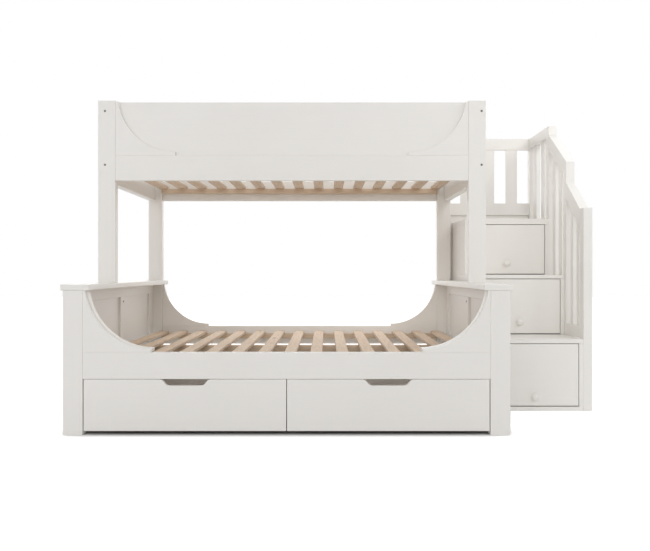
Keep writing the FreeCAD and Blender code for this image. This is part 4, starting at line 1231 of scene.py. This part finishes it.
for index, node in enumerate(RAILINGS):
    low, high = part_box(node)
    start, end = module_span(index)
    z_low = low[2] + LOW_RAIL_HEIGHT
    railing = begin(node + "_set", PAINT)
    if index < len(RAILINGS) - 1:
        rise = SLOPE_ENDS[index] - SLOPE_STARTS[index]
        y_start, y_end = slope_span(index)
        leaning_board((post_low[0], y_start, SLOPE_STARTS[index] - SLOPE_RAIL_HEIGHT),
                      (post_high[0], y_end, SLOPE_STARTS[index]), rise, rise)
    else:
        board((post_low[0], MODULE_FRONTS[index], high[2] - LEVEL_RAIL_HEIGHT), high,
              "y", LEVEL_RAIL_EDGE, 3)
    board((post_low[0], start, low[2]), (post_low[0] + LOW_RAIL_THICK, end, z_low), "y")
    x_bar = (post_low[0] + post_high[0] - BAR_THICK) / 2
    for bar_start in BAR_STARTS[index]:
        y = start + bar_start
        upright(index, (x_bar, x_bar + BAR_THICK), (y, y + BAR_WIDTHS[index]), z_low)
    seat(close(railing), node)

# %% [markdown]
# ## The floor
# The bed stands on a plain white floor, white where the camera sees it. So bright a floor nearly
# bleaches the shadow under the bed, so for the camera the floor carries a painted shadow: its colour
# is dark inside the bed's outline, with a short soft edge. The painted shadow is not a rendered one:
# it stays under the bed when the drawers roll out.

# %% The floor
FLOOR_REACH = 30.0
FLOOR_FOR_LIGHT = colour(0.95, 0.95, 0.95)
FLOOR_FOR_CAMERA = colour(1.9, 1.9, 1.9)
# The painted shadow: the floor colour that the camera sees inside the bed's outline.
FLOOR_PAINTED_SHADOW = colour(0.18, 0.17, 0.165)
SHADE_REACH = 0.06           # the painted patch fades out this far from the bed's outline

bpy.ops.mesh.primitive_plane_add(size=FLOOR_REACH)
floor = bpy.context.object
floor.name = "studio_floor"
floor_finish = Finish("studio_floor")
camera_ray = floor_finish.node("LightPath", {}, out="Is Camera Ray")
spot = floor_finish.position()


def under_bed(axis, low, high):
    """1 on the floor between low and high along an axis, fading to 0 on both sides of each."""
    along = floor_finish.node("SeparateXYZ", {"Vector": spot}, out=axis)
    inside = along.above(low - SHADE_REACH, low + SHADE_REACH)
    return inside * (1 - along.above(high - SHADE_REACH, high + SHADE_REACH))


left_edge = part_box("lower_post_front_left")[0][0]
right_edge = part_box("lower_post_front_right")[1][0]
# Mask of the painted shadow: 1 inside the bed's outline, fading to 0 at its soft edge.
shade = under_bed("X", left_edge, right_edge) * under_bed("Y", Y_FRONT, Y_WALL)
seen_floor = floor_finish.mix(shade, FLOOR_FOR_CAMERA, FLOOR_PAINTED_SHADOW)
both_floors = floor_finish.mix(camera_ray, FLOOR_FOR_LIGHT, seen_floor)
cover = floor_finish.node("BsdfDiffuse", {"Color": both_floors})
floor_finish.tree.nodes.remove(floor_finish.surface)
floor_finish.wire(floor_finish.tree.nodes["Material Output"], {"Surface": cover})
floor.data.materials.append(floor_finish.material)
print("floor:", floor.name, "patch from y", Y_FRONT, "to", Y_WALL)

# %% [markdown]
# ## The world
# The world is white where the camera, or a reflection, sees it. For all other rays it is dimmer, so
# that it fills the shadows without washing them out. The three kinds of ray that see it white are
# told apart by the Light Path node.

# %% The world
FILL = 0.27
sky = Finish("studio", "worlds", "Background")
seen = 0
for ray in ("Is Camera Ray", "Is Glossy Ray", "Is Transmission Ray"):
    is_ray = sky.node("LightPath", {}, out=ray)
    seen = sky.node("Math", {0: is_ray, 1: seen}, operation="MAXIMUM")
level = sky.node("MapRange", {0: seen, 3: FILL, 4: 1.0})
bpy.context.scene.world = sky.wear_it(Color=colour(1, 1, 1), Strength=level)
print("world fill:", FILL)

# %% [markdown]
# ## The lamps
# Wide suns light the bed softly: two low ones from the left and in front for the fronts, a higher
# one from the right that catches the railing bars standing in line, and a very wide one from behind
# that keeps the slats, the rear rails and the inner faces bright. A lamp near the railing lifts its
# top. It is kept weak enough that the white slopes don't clip.

# %% The lamps
RAILING_LAMP_PLACE = (1.9, -0.6, 2.3)
RAILING_LAMP_AIM = (1.0, 0.35, 1.25)
RAILING_LAMP_SIZE = 1.0
RAILING_LAMP_WATTS = 6.5


def soft_sun(name, azimuth, elevation, spread, strength):
    """A sun lamp with a wide disc; azimuth is to the right of straight in front, all in degrees."""
    turn = (math.radians(90 - elevation), 0, math.radians(azimuth))
    bpy.ops.object.light_add(type="SUN", rotation=turn)
    sun = bpy.context.object
    sun.name = name
    sun.data.angle = math.radians(spread)
    sun.data.energy = strength
    print(name, "strength", strength)


soft_sun("left_sun", -30, 15, 40, 0.52)
soft_sun("front_sun", 0, 25, 30, 0.38)
soft_sun("right_sun", 35, 35, 20, 0.30)
soft_sun("back_sun", 180, 30, 100, 2.2)

bpy.ops.object.light_add(type="AREA", location=RAILING_LAMP_PLACE)
railing_lamp = bpy.context.object
railing_lamp.name = "railing_lamp"
railing_lamp.data.size = RAILING_LAMP_SIZE
railing_lamp.data.energy = RAILING_LAMP_WATTS
aim = Vector(RAILING_LAMP_AIM) - Vector(RAILING_LAMP_PLACE)
railing_lamp.rotation_euler = aim.to_track_quat("-Z", "Y").to_euler()

# %% [markdown]
# ## The camera
# The photograph looks straight along the bed's depth from bed height: all upright and level lines
# stay parallel, and the sides run to one point behind the lower bed. So the camera has no tilt. How
# fast the rear posts shrink gives its distance only together with the bed's depth. Both were set so
# that the beds take mattresses of usual widths.

# %% Camera
CAMERA_PLACE = (-0.1025, Y_FRONT - 2.945, 0.738)
SENSOR = 36.0
LENS = 36.2
SHIFT = (-0.0023, -0.0062)
bpy.ops.object.camera_add(location=CAMERA_PLACE, rotation=(math.pi / 2, 0, 0))
camera = bpy.context.object
camera.data.sensor_width = SENSOR
camera.data.lens = LENS
camera.data.shift_x, camera.data.shift_y = SHIFT
bpy.context.scene.camera = camera
bpy.context.scene.view_settings.view_transform = "Standard"
print("camera at", CAMERA_PLACE, "lens", LENS)
